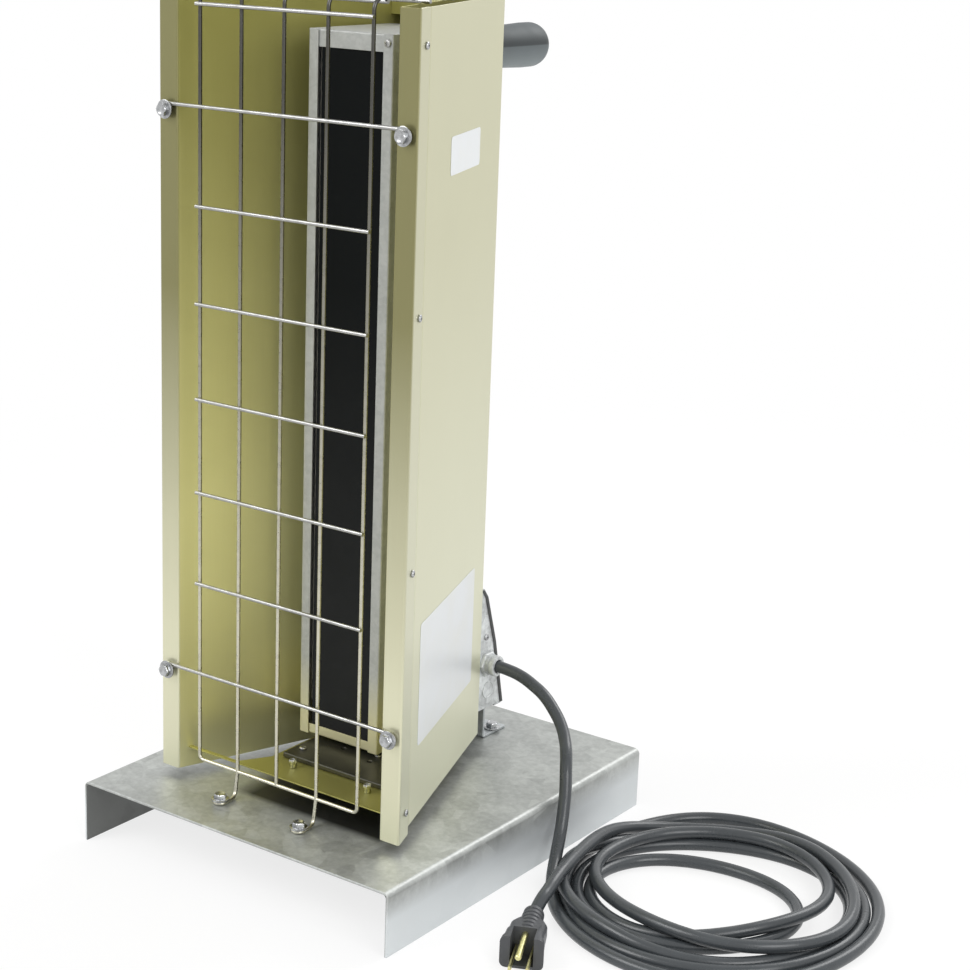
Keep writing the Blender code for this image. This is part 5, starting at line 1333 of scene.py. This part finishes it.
class HEATER_OT_emitter(Operator):
    """Build the panel emitter: its bent frame, black face, and what is behind it"""

    bl_idname = "heater.emitter"
    bl_label = "Emitter"

    def execute(self, context):
        emitter, tower = context.scene.heater_emitter, context.scene.heater_tower
        shape = TowerPlan(tower)
        half, sheet = emitter.half, emitter.sheet
        front = tower.front + emitter.setback
        slope = shape.slant.y / shape.slant.x
        rear = tower.front + (half + SEAT_GAP - (tower.front_half - tower.post)) * slope
        low, high = emitter.bottom, emitter.top
        screw_x, screw_z = half - emitter.side_flange / 2, high - emitter.top_flange / 2
        hole, bore = [(screw_x, front, screw_z)], PAN["shank"] + HOLE_CLEARANCE
        line = ((half, rear), (half, front), (half - emitter.side_flange, front))
        for side, _, place in SIDES:
            mesh = sheet_mesh(line, sheet, emitter.bend, place, low, high)
            if side == "right":
                mesh = bored(mesh, hole, (0, 1, 0), bore)
            new_piece(
                context, f"emitter_side_{side}", mesh, "frame_sheet", (f"frame_{side}",), edge=FRAME_EDGE
            )
        inner = half - sheet - SEAT_GAP
        near, far = front + sheet + SEAT_GAP, rear - sheet - SEAT_GAP
        line = ((near, high - emitter.top_flange), (near, high), (far, high))
        mesh = sheet_mesh(line, sheet, emitter.bend, section, -inner, inner)
        mesh = bored(mesh, hole, (0, 1, 0), bore)
        new_piece(context, "emitter_lid", mesh, "frame_sheet", ("frame_top",), edge=FRAME_EDGE)
        line = ((far, low), (near, low), (near, low + emitter.bottom_flange))
        mesh = sheet_mesh(line, sheet, emitter.bend, section, -inner, inner)
        new_piece(context, "emitter_floor", mesh, "frame_sheet", ("frame_bottom",), edge=FRAME_EDGE)
        face, width, margin = front + 2 * (sheet + SEAT_GAP), emitter.face_half, emitter.face_margin
        outline = round_rectangle((-width, low + margin), (width, high - margin), emitter.face_rounding)
        mesh = plate_mesh(outline, front_view, face, face + emitter.face_depth)
        new_piece(context, "black_face", mesh, "black_panel", ("emitter_face",), edge=FACE_EDGE)
        screw, where = pan_screw_mesh(emitter.screw), (screw_x, front - SEAT_GAP, screw_z)
        set_screw(context, "emitter_screw", screw, where, (0, -1, 0), ("frame_screw_right",), "steel")
        coat_nodes(context, "frame_sheet", "frame_back")
        coat_nodes(context, "galvanised", "emitter_bracket")
        coat_nodes(context, "steel", "heating_element")
        coat_nodes(context, "insulation", "insulation_board")
        coat_nodes(context, "black_plastic", "emitter_lead_left", "emitter_lead_right")
        return {"FINISHED"}


class HEATER_OT_floor_panel(Operator):
    """Build the gold panel under the emitter and the dark plate over the wiring"""

    bl_idname = "heater.floor_panel"
    bl_label = "Floor panel"

    def execute(self, context):
        emitter, tower = context.scene.heater_emitter, context.scene.heater_tower
        shape = TowerPlan(tower)
        coat_nodes(context, "floor_gold", "bottom_panel", edge=SHEET_EDGE)
        front = tower.front + emitter.plate_setback
        back = front + emitter.plate_depth
        low = emitter.panel_top + SEAT_GAP
        high = low + emitter.plate_height
        left, gap = -emitter.plate_left, emitter.plate_gap
        right, far_right = shape.wall_x(front) - gap, shape.wall_x(back) - gap
        outline = ((left, front), (right, front), (far_right, back), (left, back))
        mesh = plate_mesh(outline, plan, low, high)
        spots = [(x, front + y, (low + high) / 2) for x, y in PLATE_SCREWS + PLATE_HOLES]
        mesh = bored(mesh, spots, (0, 0, 1), PAN["shank"] + HOLE_CLEARANCE)
        new_piece(context, "wiring_cover", mesh, "dark_plate", ("wiring_plate",), edge=PLATE_EDGE)
        screw = pan_screw_mesh(emitter.plate_height * 0.8)
        for k, (x, y) in enumerate(PLATE_SCREWS, 1):
            replaced = ("wiring_plate_screw",) if k == 1 else ()
            where = (x, front + y, high + SEAT_GAP)
            set_screw(context, f"wiring_screw_{k}", screw, where, (0, 0, 1), replaced, "steel")
        post = standoff_mesh()
        for side, x in STANDOFFS:
            spot = facing((x, front - STANDOFF_OUT, low), (0, 0, 1))
            name = f"plate_standoff_{side}"
            new_piece(context, f"{name}_post", post, "bright_zinc", (name,), place=spot)
        return {"FINISHED"}


def standoff_mesh():
    """A standoff: a round post with a hexagon head, and the end of a stud in it."""
    post, head, stud = 0.0028, 0.0034, 0.0014
    foot, top, edge = 0.0042, 0.0066, 0.0003
    profile = (
        (0, top - 0.0008),
        (stud, top - 0.0008),
        (stud + 0.0002, top),
        (post, top),
        (head - 0.0001, top - edge, 6),
        (head, top - 2 * edge, 6),
        (head, foot, 6),
        (post, foot - edge),
        (post - 0.0001, 0),
        (0, 0),
    )
    return turned_mesh(profile)


class HEATER_OT_junction_box(Operator):
    """Build the junction box, its cover, the cord connector and the rear bracket"""

    bl_idname = "heater.junction_box"
    bl_label = "Junction box"

    def execute(self, context):
        box = context.scene.heater_box
        y, z, wall, half, reach = box.back, box.bottom, box.wall, box.half, 2 * OVERRUN
        top, foot = z + box.height, y + box.foot_out
        brow, knee = (y + box.brow_out, z + box.brow_up), (y + box.knee_out, z + box.knee_up)
        outline = ((y, top), (y + box.lean, top), brow, knee, (foot, z), (y, z))
        hollow = (
            (y + wall, top - wall),
            (y + box.lean + reach, top - wall),
            (brow[0] + reach, brow[1] - wall),
            (knee[0] + reach, knee[1]),
            (foot + reach, z + wall),
            (y + wall, z + wall),
        )
        cavity = plate_mesh(hollow, section, wall - half, half - wall)
        mesh = combined(plate_mesh(outline, section, -half, half), "DIFFERENCE", cavity)
        mesh = bored(mesh, [(half, *MOUTH[1:])], (1, 0, 0), box.neck + HOLE_CLEARANCE)
        mesh = bored(mesh, [(0, y + box.switch_back, z)], (0, 0, 1), PLUNGER_BORE)
        leads = [(x, y, z + box.lead_up) for x in (-box.lead_x, box.lead_x)]
        mesh = bored(mesh, leads, (0, 1, 0), box.lead_bore)
        new_piece(context, "wiring_box", mesh, "box_zinc", ("junction_box",), edge=SHEET_EDGE)
        self.cover(context, box)
        self.connector(context, box)
        self.details(context, box)
        self.bracket(context, box)
        coat_nodes(context, "bright_zinc", "connector_locknut")
        coat_nodes(context, "black_plastic", "terminal_block")
        return {"FINISHED"}

    def cover(self, context, box):
        y, z, grow = box.back, box.bottom, SEAT_GAP
        line = (
            (y + box.foot_out + grow - box.cover_lip, z - grow),
            (y + box.foot_out + grow, z - grow),
            (y + box.knee_out + grow, z + box.knee_up),
            (y + box.brow_out + grow, z + box.brow_up + grow / 2),
            (y + box.lean + grow / 2, z + box.height + grow),
            (y, z + box.height + grow),
        )
        mesh = sheet_mesh(line, box.wall, box.bend, section, -box.half, box.half)
        new_piece(context, "sloping_cover", mesh, "box_zinc", ("box_cover",), edge=BOX_COVER_EDGE)
        # dark rims over the box's sides: the cover's edge seen edge-on, and painted shadow in the gap under
        # it
        outer = [Vector(point) for point in line[1:5]]
        inner = [Vector((p.x - box.cover_rim, p.y + box.rim_slope)) for p in outer]
        outline = [*outer, *reversed(inner)]
        for side, sign, _ in SIDES:
            x = sign * (box.half + 2 * SKIN_GAP)
            mesh = plate_mesh(outline, section, x, x + sign * box.wall * 0.6)
            new_piece(context, f"cover_rim_{side}", mesh, "rim_shadow_zinc", edge=RIM_EDGE)

    def connector(self, context, box):
        bore, barrel, reach, groove, nut = box.bore, box.barrel, box.reach, box.groove, box.nut
        rim, middle, inner = box.barrel_rim, box.groove_out, -box.wall - box.thread
        profile = (
            (bore, reach - box.bore_rim),
            (bore + box.bore_rim, reach),
            (barrel - rim, reach),
            (barrel - 0.3 * rim, reach - 0.3 * rim),
            (barrel, reach - rim),
            (barrel, middle + groove),
            (barrel - groove, middle + groove / 2),
            (barrel - groove, middle - groove / 2),
            (barrel, middle - groove),
            (barrel, nut + 0.1 * rim),
            (box.flange * 0.84, nut),
            (box.flange * 0.98, nut - 0.5 * rim, 6),
            (box.flange, nut - 0.9 * rim, 6),
            (box.flange, SEAT_GAP, 6),
            (box.neck, SEAT_GAP),
            (box.neck, inner),
            (bore, inner),
            (bore, reach - box.bore_rim),
        )
        spot = facing((box.half, MOUTH[1], MOUTH[2]), (1, 0, 0))
        new_piece(
            context, "cord_gland", turned_mesh(profile), "box_zinc", ("cord_connector",), place=spot
        )

    def details(self, context, box):
        """The knockouts and screws in the box's sides."""
        radius, edge, rise = box.knockout, 0.0002, 0.0005
        foot, rim = (radius - 6 * edge, rise / 5), ((radius - 4 * edge, rise), (radius - edge, rise))
        disc = turned_mesh(((0, rise / 5), foot, *rim, (radius, 0), (0, 0)))
        screw = pan_screw_mesh(PAN["stub"])
        for side, sign, _ in SIDES:
            x, outward = sign * (box.half + SKIN_GAP), (sign, 0, 0)
            spot = facing((x, *KNOCKOUT_PLACE), outward)
            new_piece(context, f"knockout_{side}", disc, "box_zinc", place=spot)
            set_screw(context, f"box_screw_{side}", screw, (x, *BOX_SCREW_PLACE), outward)

    def bracket(self, context, box):
        foot = context.scene.heater_base.height + SEAT_GAP + box.bracket_sheet
        web, top = box.back + box.web, box.bottom - SEAT_GAP
        line = ((box.back + box.bracket_edge, top), (web, top), (web, foot), (web + box.bracket_foot, foot))
        mesh = sheet_mesh(line, box.bracket_sheet, box.bend, section, -box.bracket_half, box.bracket_half)
        bolts = [(x, box.back + box.bolt_back, foot) for x in (-box.bolt_x, box.bolt_x)]
        mesh = bored(mesh, bolts, (0, 0, 1), HEX["shank"] + HOLE_CLEARANCE)
        mesh = bored(mesh, [(0, box.back + box.switch_back, box.bottom)], (0, 0, 1), PLUNGER_BORE)
        new_piece(context, "box_bracket", mesh, "galvanised", ("rear_bracket",), edge=FACE_EDGE)


class HEATER_OT_tip_switch(Operator):
    """Finish the tip-over switch, its plunger and spring"""

    bl_idname = "heater.tip_switch"
    bl_label = "Tip-over switch"

    def execute(self, context):
        coat_nodes(context, "black_plastic", "tip_plunger", "tip_switch")
        coat_nodes(context, "steel", "plunger_spring")
        return {"FINISHED"}


class HEATER_OT_handle(Operator):
    """Build the handle: its flanged tube and the thick grip with a rounded end"""

    bl_idname = "heater.handle"
    bl_label = "Handle"

    def execute(self, context):
        handle, tower = context.scene.heater_handle, context.scene.heater_tower
        y0 = TowerPlan(tower).rear + tower.sheet + 2 * SEAT_GAP
        spot = facing((0, y0, handle.height), (0, 1, 0))
        bore, near, far = handle.tube - handle.tube_wall, handle.neck, handle.neck + handle.length
        tube_end = far - handle.cap - SEAT_GAP
        sheet, flange = handle.flange_sheet, handle.flange
        profile = (
            (bore, tube_end),
            (handle.tube, tube_end),
            (handle.tube, sheet + handle.weld),
            (handle.tube + handle.weld, sheet),
            (flange - handle.chamfer, sheet),
            (flange, sheet - handle.chamfer),
            (flange, 0),
            (bore, 0),
            (bore, tube_end),
        )
        new_piece(context, "handle_stem", turned_mesh(profile), "steel", ("handle_tube",), place=spot)
        flat = handle.end_radius - handle.crown
        crown = quarter_round(flat, far, handle.crown, 10)
        inside = handle.tube + SEAT_GAP
        profile = (
            (0, far),
            (flat * 0.5, far),
            *crown,
            (handle.end_radius, near + handle.taper),
            (handle.radius, near + 0.0015),
            (handle.radius - 0.0004, near + 0.0004),
            (handle.radius - 0.0014, near),
            (inside, near),
            (inside, far - handle.cap),
            (0, far - handle.cap),
        )
        grip = turned_mesh(profile, GRIP_STEPS)
        new_piece(context, "handle_rubber", grip, "grey_rubber", ("handle_grip",), place=spot)
        screw, reach = pan_screw_mesh(PAN["stub"]), handle.screw_circle
        for k in range(3):
            turn = math.radians(90 + 120 * k)
            across, up = reach * math.cos(turn), reach * math.sin(turn)
            where = (across, y0 + sheet + SKIN_GAP, handle.height + up)
            set_screw(context, f"flange_screw_{k + 1}", screw, where, (0, 1, 0))
        return {"FINISHED"}


def quarter_turn(steps):
    """Angles from nothing to a quarter turn."""
    return [math.pi / 2 * k / steps for k in range(steps + 1)]


def quarter_round(reach, top, radius, steps):
    """A turned profile's rounded edge, from its flat top at a reach down to its side."""
    return [(reach + radius * math.sin(t), top - radius * (1 - math.cos(t))) for t in quarter_turn(steps)]


def smooth_line(points, spacing):
    """Points about spacing apart along a smooth curve through the given ones."""
    points = [Vector(p) for p in points]
    ends = [2 * points[0] - points[1], *points, 2 * points[-1] - points[-2]]
    fine = []
    for a, b, c, d in zip(ends, ends[1:], ends[2:], ends[3:]):
        square = 2 * a - 5 * b + 4 * c - d
        cube = 3 * b - a - 3 * c + d
        for k in range(12):
            t = k / 12
            fine.append((2 * b + (c - a) * t + square * t**2 + cube * t**3) / 2)
    fine.append(points[-1])
    passed = [0.0]
    for a, b in zip(fine, fine[1:]):
        passed.append(passed[-1] + (b - a).length)
    count = max(1, round(passed[-1] / spacing))
    marks = np.linspace(0, passed[-1], count + 1)
    axes = [np.interp(marks, passed, [p[axis] for p in fine]) for axis in range(len(points[0]))]
    return [Vector(p) for p in zip(*axes)]


def coil_line(low):
    """The coil's loops in one smooth line, each loop higher than the one before."""
    marks = []
    for turn, radii in enumerate(COIL_RADII):
        for k, radius in enumerate(radii):
            marks.append((COIL_START + 360 * (turn + k / len(radii)), 1000 * radius))
    line = []
    for angle, radius in smooth_line(marks, 6):
        turn, reach = math.radians(angle), radius / 1000
        x, y = COIL_CENTRE[0] + reach * math.cos(turn), COIL_CENTRE[1] + reach * math.sin(turn)
        line.append((x, y, low + LOOP_RISE * (angle - COIL_START) / 360))
    return line


def lengths_along(spots):
    """How far along a line each of its points is."""
    return np.concatenate(([0], np.cumsum(np.linalg.norm(np.diff(spots, axis=0), axis=1))))


def part_strands(spots, free, pairs, reach, low):
    """Push strands that overlap off each other, and keep them on the floor."""
    first, second = pairs
    for _ in range(3):
        between = spots[first] - spots[second]
        apart = np.linalg.norm(between, axis=1)
        lap = np.maximum(0, reach - apart)
        push = between * (lap / 2 / np.maximum(apart, 1e-6))[:, None]
        total, met = np.zeros_like(spots), np.zeros(len(spots))
        for ends, sign in ((first, 1), (second, -1)):
            np.add.at(total, ends, sign * push)
            np.add.at(met, ends, lap > 0)
        spots[free] += (total / np.maximum(1, met * LAY_EASE)[:, None])[free]
        spots[free, 2] = np.maximum(spots[free, 2], low)


def even_bends(spots, free):
    """Share each bend out to the cord on both sides of it, as a stiff jacket does."""
    count = len(spots)
    for reach, share in LAY_REACHES:
        bend, move = np.zeros_like(spots), np.zeros_like(spots)
        bend[reach:-reach] = spots[reach:-reach] - (spots[: -2 * reach] + spots[2 * reach :]) / 2
        beside = (bend[reach : count - 3 * reach] + bend[3 * reach : count - reach]) / 2
        middle = slice(2 * reach, count - 2 * reach)
        move[middle] = share * (beside - bend[middle])
        spots[free] += move[free]


def cord_line(diameter):
    """The cord's centre line: its loops fall until they lie on the floor and on each other."""
    low = diameter / 2 + SEAT_GAP
    lead = [(CORD_START_X, *MOUTH[1:]), MOUTH, *LEAD_ROUTE]
    lift = len(COIL_RADII) * LOOP_RISE
    tail = [(x, y, z + lift * share) for (x, y, z), share in zip(TAIL_ROUTE, TAIL_LIFT_SHARES)]
    spots = np.array(smooth_line([*lead, *coil_line(low)[1:], *tail, PLUG_REAR], LAY_STEP))
    along = lengths_along(spots)
    lead_length = lengths_along(np.array(smooth_line(lead, LAY_STEP)))[-1]
    free = (along > lead_length - LOOSE_LEAD) & (along < along[-1] - FIXED_TAIL)
    laid = spots[:, :2].copy()
    order = np.arange(len(spots))
    later = order[None, :] - order[:, None] > LAY_SKIP
    for k in range(LAY_ROUNDS):
        if k % LAY_LOOK == 0:
            apart = np.linalg.norm(spots[:, None] - spots[None], axis=-1)
            pairs = np.nonzero((apart < LAY_SIGHT * diameter) & later)
        spots[free, 2] -= LAY_FALL[k >= LAY_ROUNDS // 2]
        spots[free, :2] += LAY_PULL * (laid[free] - spots[free, :2])
        part_strands(spots, free, pairs, diameter * LAY_APART, low)
        even_bends(spots, free)
        spots[free, 2] = np.maximum(spots[free, 2], low)
    return [HOME @ Vector(spot) for spot in spots]


class HEATER_OT_cord(Operator):
    """Lay the cord from the junction box through its coil to the plug"""

    bl_idname = "heater.cord"
    bl_label = "Cord"

    def execute(self, context):
        cord = context.scene.heater_cord
        line = cord_line(cord.diameter)
        curve = bpy.data.curves.new("power_cord", "CURVE")
        curve.dimensions = "3D"
        curve.bevel_depth = cord.diameter / 2
        curve.bevel_resolution = 5
        curve.use_fill_caps = True
        curve.resolution_u = 5
        spline = curve.splines.new("BEZIER")
        marks = [*line[:-1:3], line[-1]]
        spline.bezier_points.add(len(marks) - 1)
        for point, spot in zip(spline.bezier_points, marks):
            point.co = spot
            point.handle_left_type = "AUTO"
            point.handle_right_type = "AUTO"
        replaced = ("cord_lead", "cord_coil", "cord_tail")
        piece = new_piece(context, "power_cord", curve, "cord_jacket", replaced, place=HOME.inverted())
        return {"FINISHED"}


class HEATER_OT_plug(Operator):
    """Build the plug with its ribbed neck, side grips, blades and round pin"""

    bl_idname = "heater.plug"
    bl_label = "Plug"

    def execute(self, context):
        cord = context.scene.heater_cord
        up, along = Vector((0, 0, 1)), Vector((*PLUG_HEADING, 0)).normalized()
        turn = Matrix((up.cross(along), up, along)).transposed()
        spot = Matrix.Translation(PLUG_REAR) @ turn.to_4x4()
        length = cord.relief + cord.body
        body = combined(self.body_mesh(cord, length), "UNION", self.neck_mesh(cord))

        half, tall, root = cord.recess_half, cord.half_height, length - cord.recess

        def recess(work):
            put_box(work, (-half, cord.recess_floor - tall, root), (half, 2 * tall, length + OVERRUN))

        body = combined(body, "DIFFERENCE", mesh_of(recess))
        new_piece(
            context, "plug_shell", body, "black_plastic", ("plug_body",), edge=PLUG_EDGE, place=spot
        )
        root -= BLADE_ROOT
        thick, drop, tip = cord.blade_sheet / 2, cord.blade_drop, length + cord.blade
        low, high = (-drop - cord.blade_half, root), (-drop + cord.blade_half, tip)
        for side, sign, _ in SIDES:
            x = sign * cord.blade_spacing / 2
            mesh = plate_mesh(round_rectangle(low, high, BLADE_ROUNDING), section, x - thick, x + thick)
            mesh = bored(mesh, [(x, -drop, tip - cord.blade_hole_in)], (1, 0, 0), cord.blade_hole)
            new_piece(
                context, f"{side}_blade", mesh, "brass", (f"plug_blade_{side}",), edge=FRAME_EDGE, place=spot
            )
        tip = length + cord.pin_length
        profile = [*quarter_round(0, tip, cord.pin, 6), (cord.pin, root), (0, root)]
        pin = turned_mesh(profile, SMALL_STEPS)
        pin.transform(Matrix.Translation((0, cord.pin_rise, 0)))
        new_piece(context, "round_pin", pin, "brass", ("plug_ground_pin",), place=spot)
        return {"FINISHED"}

    def neck_mesh(self, cord):
        """The ribbed neck that keeps the cord from kinking at the plug."""
        reach, tip, swell = cord.relief + cord.neck_tuck, cord.neck_tip, cord.neck_swell
        profile = [(0, reach + OVERRUN), (tip + swell, reach + OVERRUN)]
        for k in range(NECK_RIBS, 0, -1):
            crest = tip + (cord.rear_half + swell - tip) * k / NECK_RIBS
            profile += [(crest - depth, reach / NECK_RIBS * (k - share)) for depth, share in RIB_FORM]
        profile += [(tip - cord.neck_mouth, 0), (0, 0)]
        return turned_mesh(profile, SMALL_STEPS)

    def body_mesh(self, cord, length):
        """The plug's body, which widens to its face, as rounded rings joined along its length."""
        half = cord.half_height
        stations = (
            (cord.relief - 0.0060, cord.rear_half + 0.0012, half * 0.50),
            (cord.relief + 0.0020, cord.rear_half + 0.0040, half * 0.62),
            (cord.relief + 0.0150, cord.middle_half - 0.0004, half * 0.70),
            (length - cord.recess, cord.middle_half - 0.0002, half * 0.96),
            (length - 0.0090, cord.middle_half, half),
            (length - 0.0050, cord.front_half - 0.0004, half),
            (length, cord.front_half, half),
        )

        def build(work):
            rings = []
            for z, wide, tall in stations:
                outline = round_rectangle((-wide, -tall), (wide, tall), cord.rounding, 5)
                rings.append([work.verts.new((x, y, z)) for x, y in outline])
            for lower, upper in zip(rings, rings[1:]):
                for k in range(len(lower)):
                    work.faces.new((lower[k - 1], lower[k], upper[k], upper[k - 1]))
            work.faces.new(rings[0])
            work.faces.new(rings[-1])

        return mesh_of(build)


class HEATER_OT_stage(Operator):
    """Set up the camera, the white floor and background, and the lamps"""

    bl_idname = "heater.stage"
    bl_label = "Stage"

    def execute(self, context):
        scene = context.scene
        self.camera(scene)
        self.floor(context)
        self.world(scene)
        for name, where, width, power in LAMPS:
            data = bpy.data.lights.new(name, "AREA")
            data.size = width
            data.energy = power
            lamp = bpy.data.objects.new(name, data)
            scene.collection.objects.link(lamp)
            lamp.location = where
            lamp.rotation_euler = (Vector(LAMP_AIM) - Vector(where)).to_track_quat("-Z", "Y").to_euler()
        scene.view_settings.view_transform = "Standard"
        return {"FINISHED"}

    def camera(self, scene):
        data = bpy.data.cameras.new("camera")
        data.sensor_fit = "HORIZONTAL"
        data.sensor_width = CAMERA_SENSOR
        data.lens = CAMERA_LENS
        data.shift_x, data.shift_y = CAMERA_SHIFT
        camera = bpy.data.objects.new("camera", data)
        scene.collection.objects.link(camera)
        right, up = Vector(CAMERA_RIGHT), Vector(CAMERA_UP)
        turn = Matrix((right, up, right.cross(up))).transposed()
        camera.matrix_world = HOME @ Matrix.Translation(CAMERA_PLACE) @ turn.to_4x4()
        scene.camera = camera

    def floor(self, context):
        low, high = (-FLOOR_HALF, -FLOOR_HALF), (FLOOR_HALF, FLOOR_HALF)
        mesh = plate_mesh(round_rectangle(low, high, FLOOR_ROUNDING), plan, -FLOOR_DEPTH, 0)
        floor = bpy.data.objects.new("floor", mesh)
        context.scene.collection.objects.link(floor)
        finish = Finish("white_floor")
        shade = finish.blend(finish.noise(3, 2), (0.96, 0.96, 0.96), (0.98, 0.98, 0.98))
        plain = finish.node("ShaderNodeBsdfDiffuse", sockets={"Color": shade})
        glow = finish.node("ShaderNodeEmission", sockets={"Color": (1, 1, 1, 1), "Strength": 1.0})
        distance = finish.node("ShaderNodeVectorMath", {"operation": "LENGTH"}, {0: finish.place()}, 1)
        seen = shown_rays(finish) * (0.78 + 0.22 * finish.contrast(distance, *SHADOW_REACH))
        surface = finish.node("ShaderNodeMixShader", sockets={0: seen, 1: plain, 2: glow})
        finish.node("ShaderNodeOutputMaterial", sockets={0: surface})
        mesh.materials.append(finish.material)

    def world(self, scene):
        scene.world = bpy.data.worlds.new("white")
        finish = Finish("white", scene.world)
        level = shown_rays(finish) * 0.4 + 0.6
        light = finish.node("ShaderNodeBackground", sockets={0: (1, 1, 1, 1), 1: level})
        finish.node("ShaderNodeOutputWorld", sockets={0: light})


def shown_rays(finish):
    """1 for the rays that show the background: camera, glossy and transmission rays."""
    kinds = ("Is Camera Ray", "Is Glossy Ray", "Is Transmission Ray")
    camera, glossy, clear = (finish.node("ShaderNodeLightPath", output=kind) for kind in kinds)
    return finish.maths("MAXIMUM", finish.maths("MAXIMUM", camera, glossy), clear)


OPERATORS = (
    HEATER_OT_base,
    HEATER_OT_tower,
    HEATER_OT_labels,
    HEATER_OT_guard,
    HEATER_OT_hex_screws,
    HEATER_OT_emitter,
    HEATER_OT_floor_panel,
    HEATER_OT_junction_box,
    HEATER_OT_tip_switch,
    HEATER_OT_handle,
    HEATER_OT_plug,
    HEATER_OT_cord,
    HEATER_OT_stage,
)
GROUPS = {
    "heater_base": BaseSizes,
    "heater_tower": TowerSizes,
    "heater_guard": GuardSizes,
    "heater_emitter": EmitterSizes,
    "heater_box": BoxSizes,
    "heater_handle": HandleSizes,
    "heater_cord": CordSizes,
    "heater_colours": Colours,
}


class HEATER_PT_panel(Panel):
    """Lists the heater's operators in the order in which they are used"""

    bl_idname = "HEATER_PT_panel"
    bl_label = "Infrared Heater"
    bl_space_type = "VIEW_3D"
    bl_region_type = "UI"
    bl_category = "Heater"

    def draw(self, context):
        for operator in OPERATORS:
            self.layout.operator(operator.bl_idname)
        for group in GROUPS:
            box = self.layout.box()
            for name in getattr(context.scene, group).__annotations__:
                box.prop(getattr(context.scene, group), name)


def register():
    for cls in (*GROUPS.values(), *OPERATORS, HEATER_PT_panel):
        bpy.utils.register_class(cls)
    for name, group in GROUPS.items():
        setattr(bpy.types.Scene, name, PointerProperty(type=group))


def unregister():
    for name in GROUPS:
        delattr(bpy.types.Scene, name)
    for cls in reversed((*GROUPS.values(), *OPERATORS, HEATER_PT_panel)):
        bpy.utils.unregister_class(cls)


def main():
    register()
    for operator in OPERATORS:
        group, name = operator.bl_idname.split(".")
        getattr(getattr(bpy.ops, group), name)()


if __name__ == "__main__":
    main()
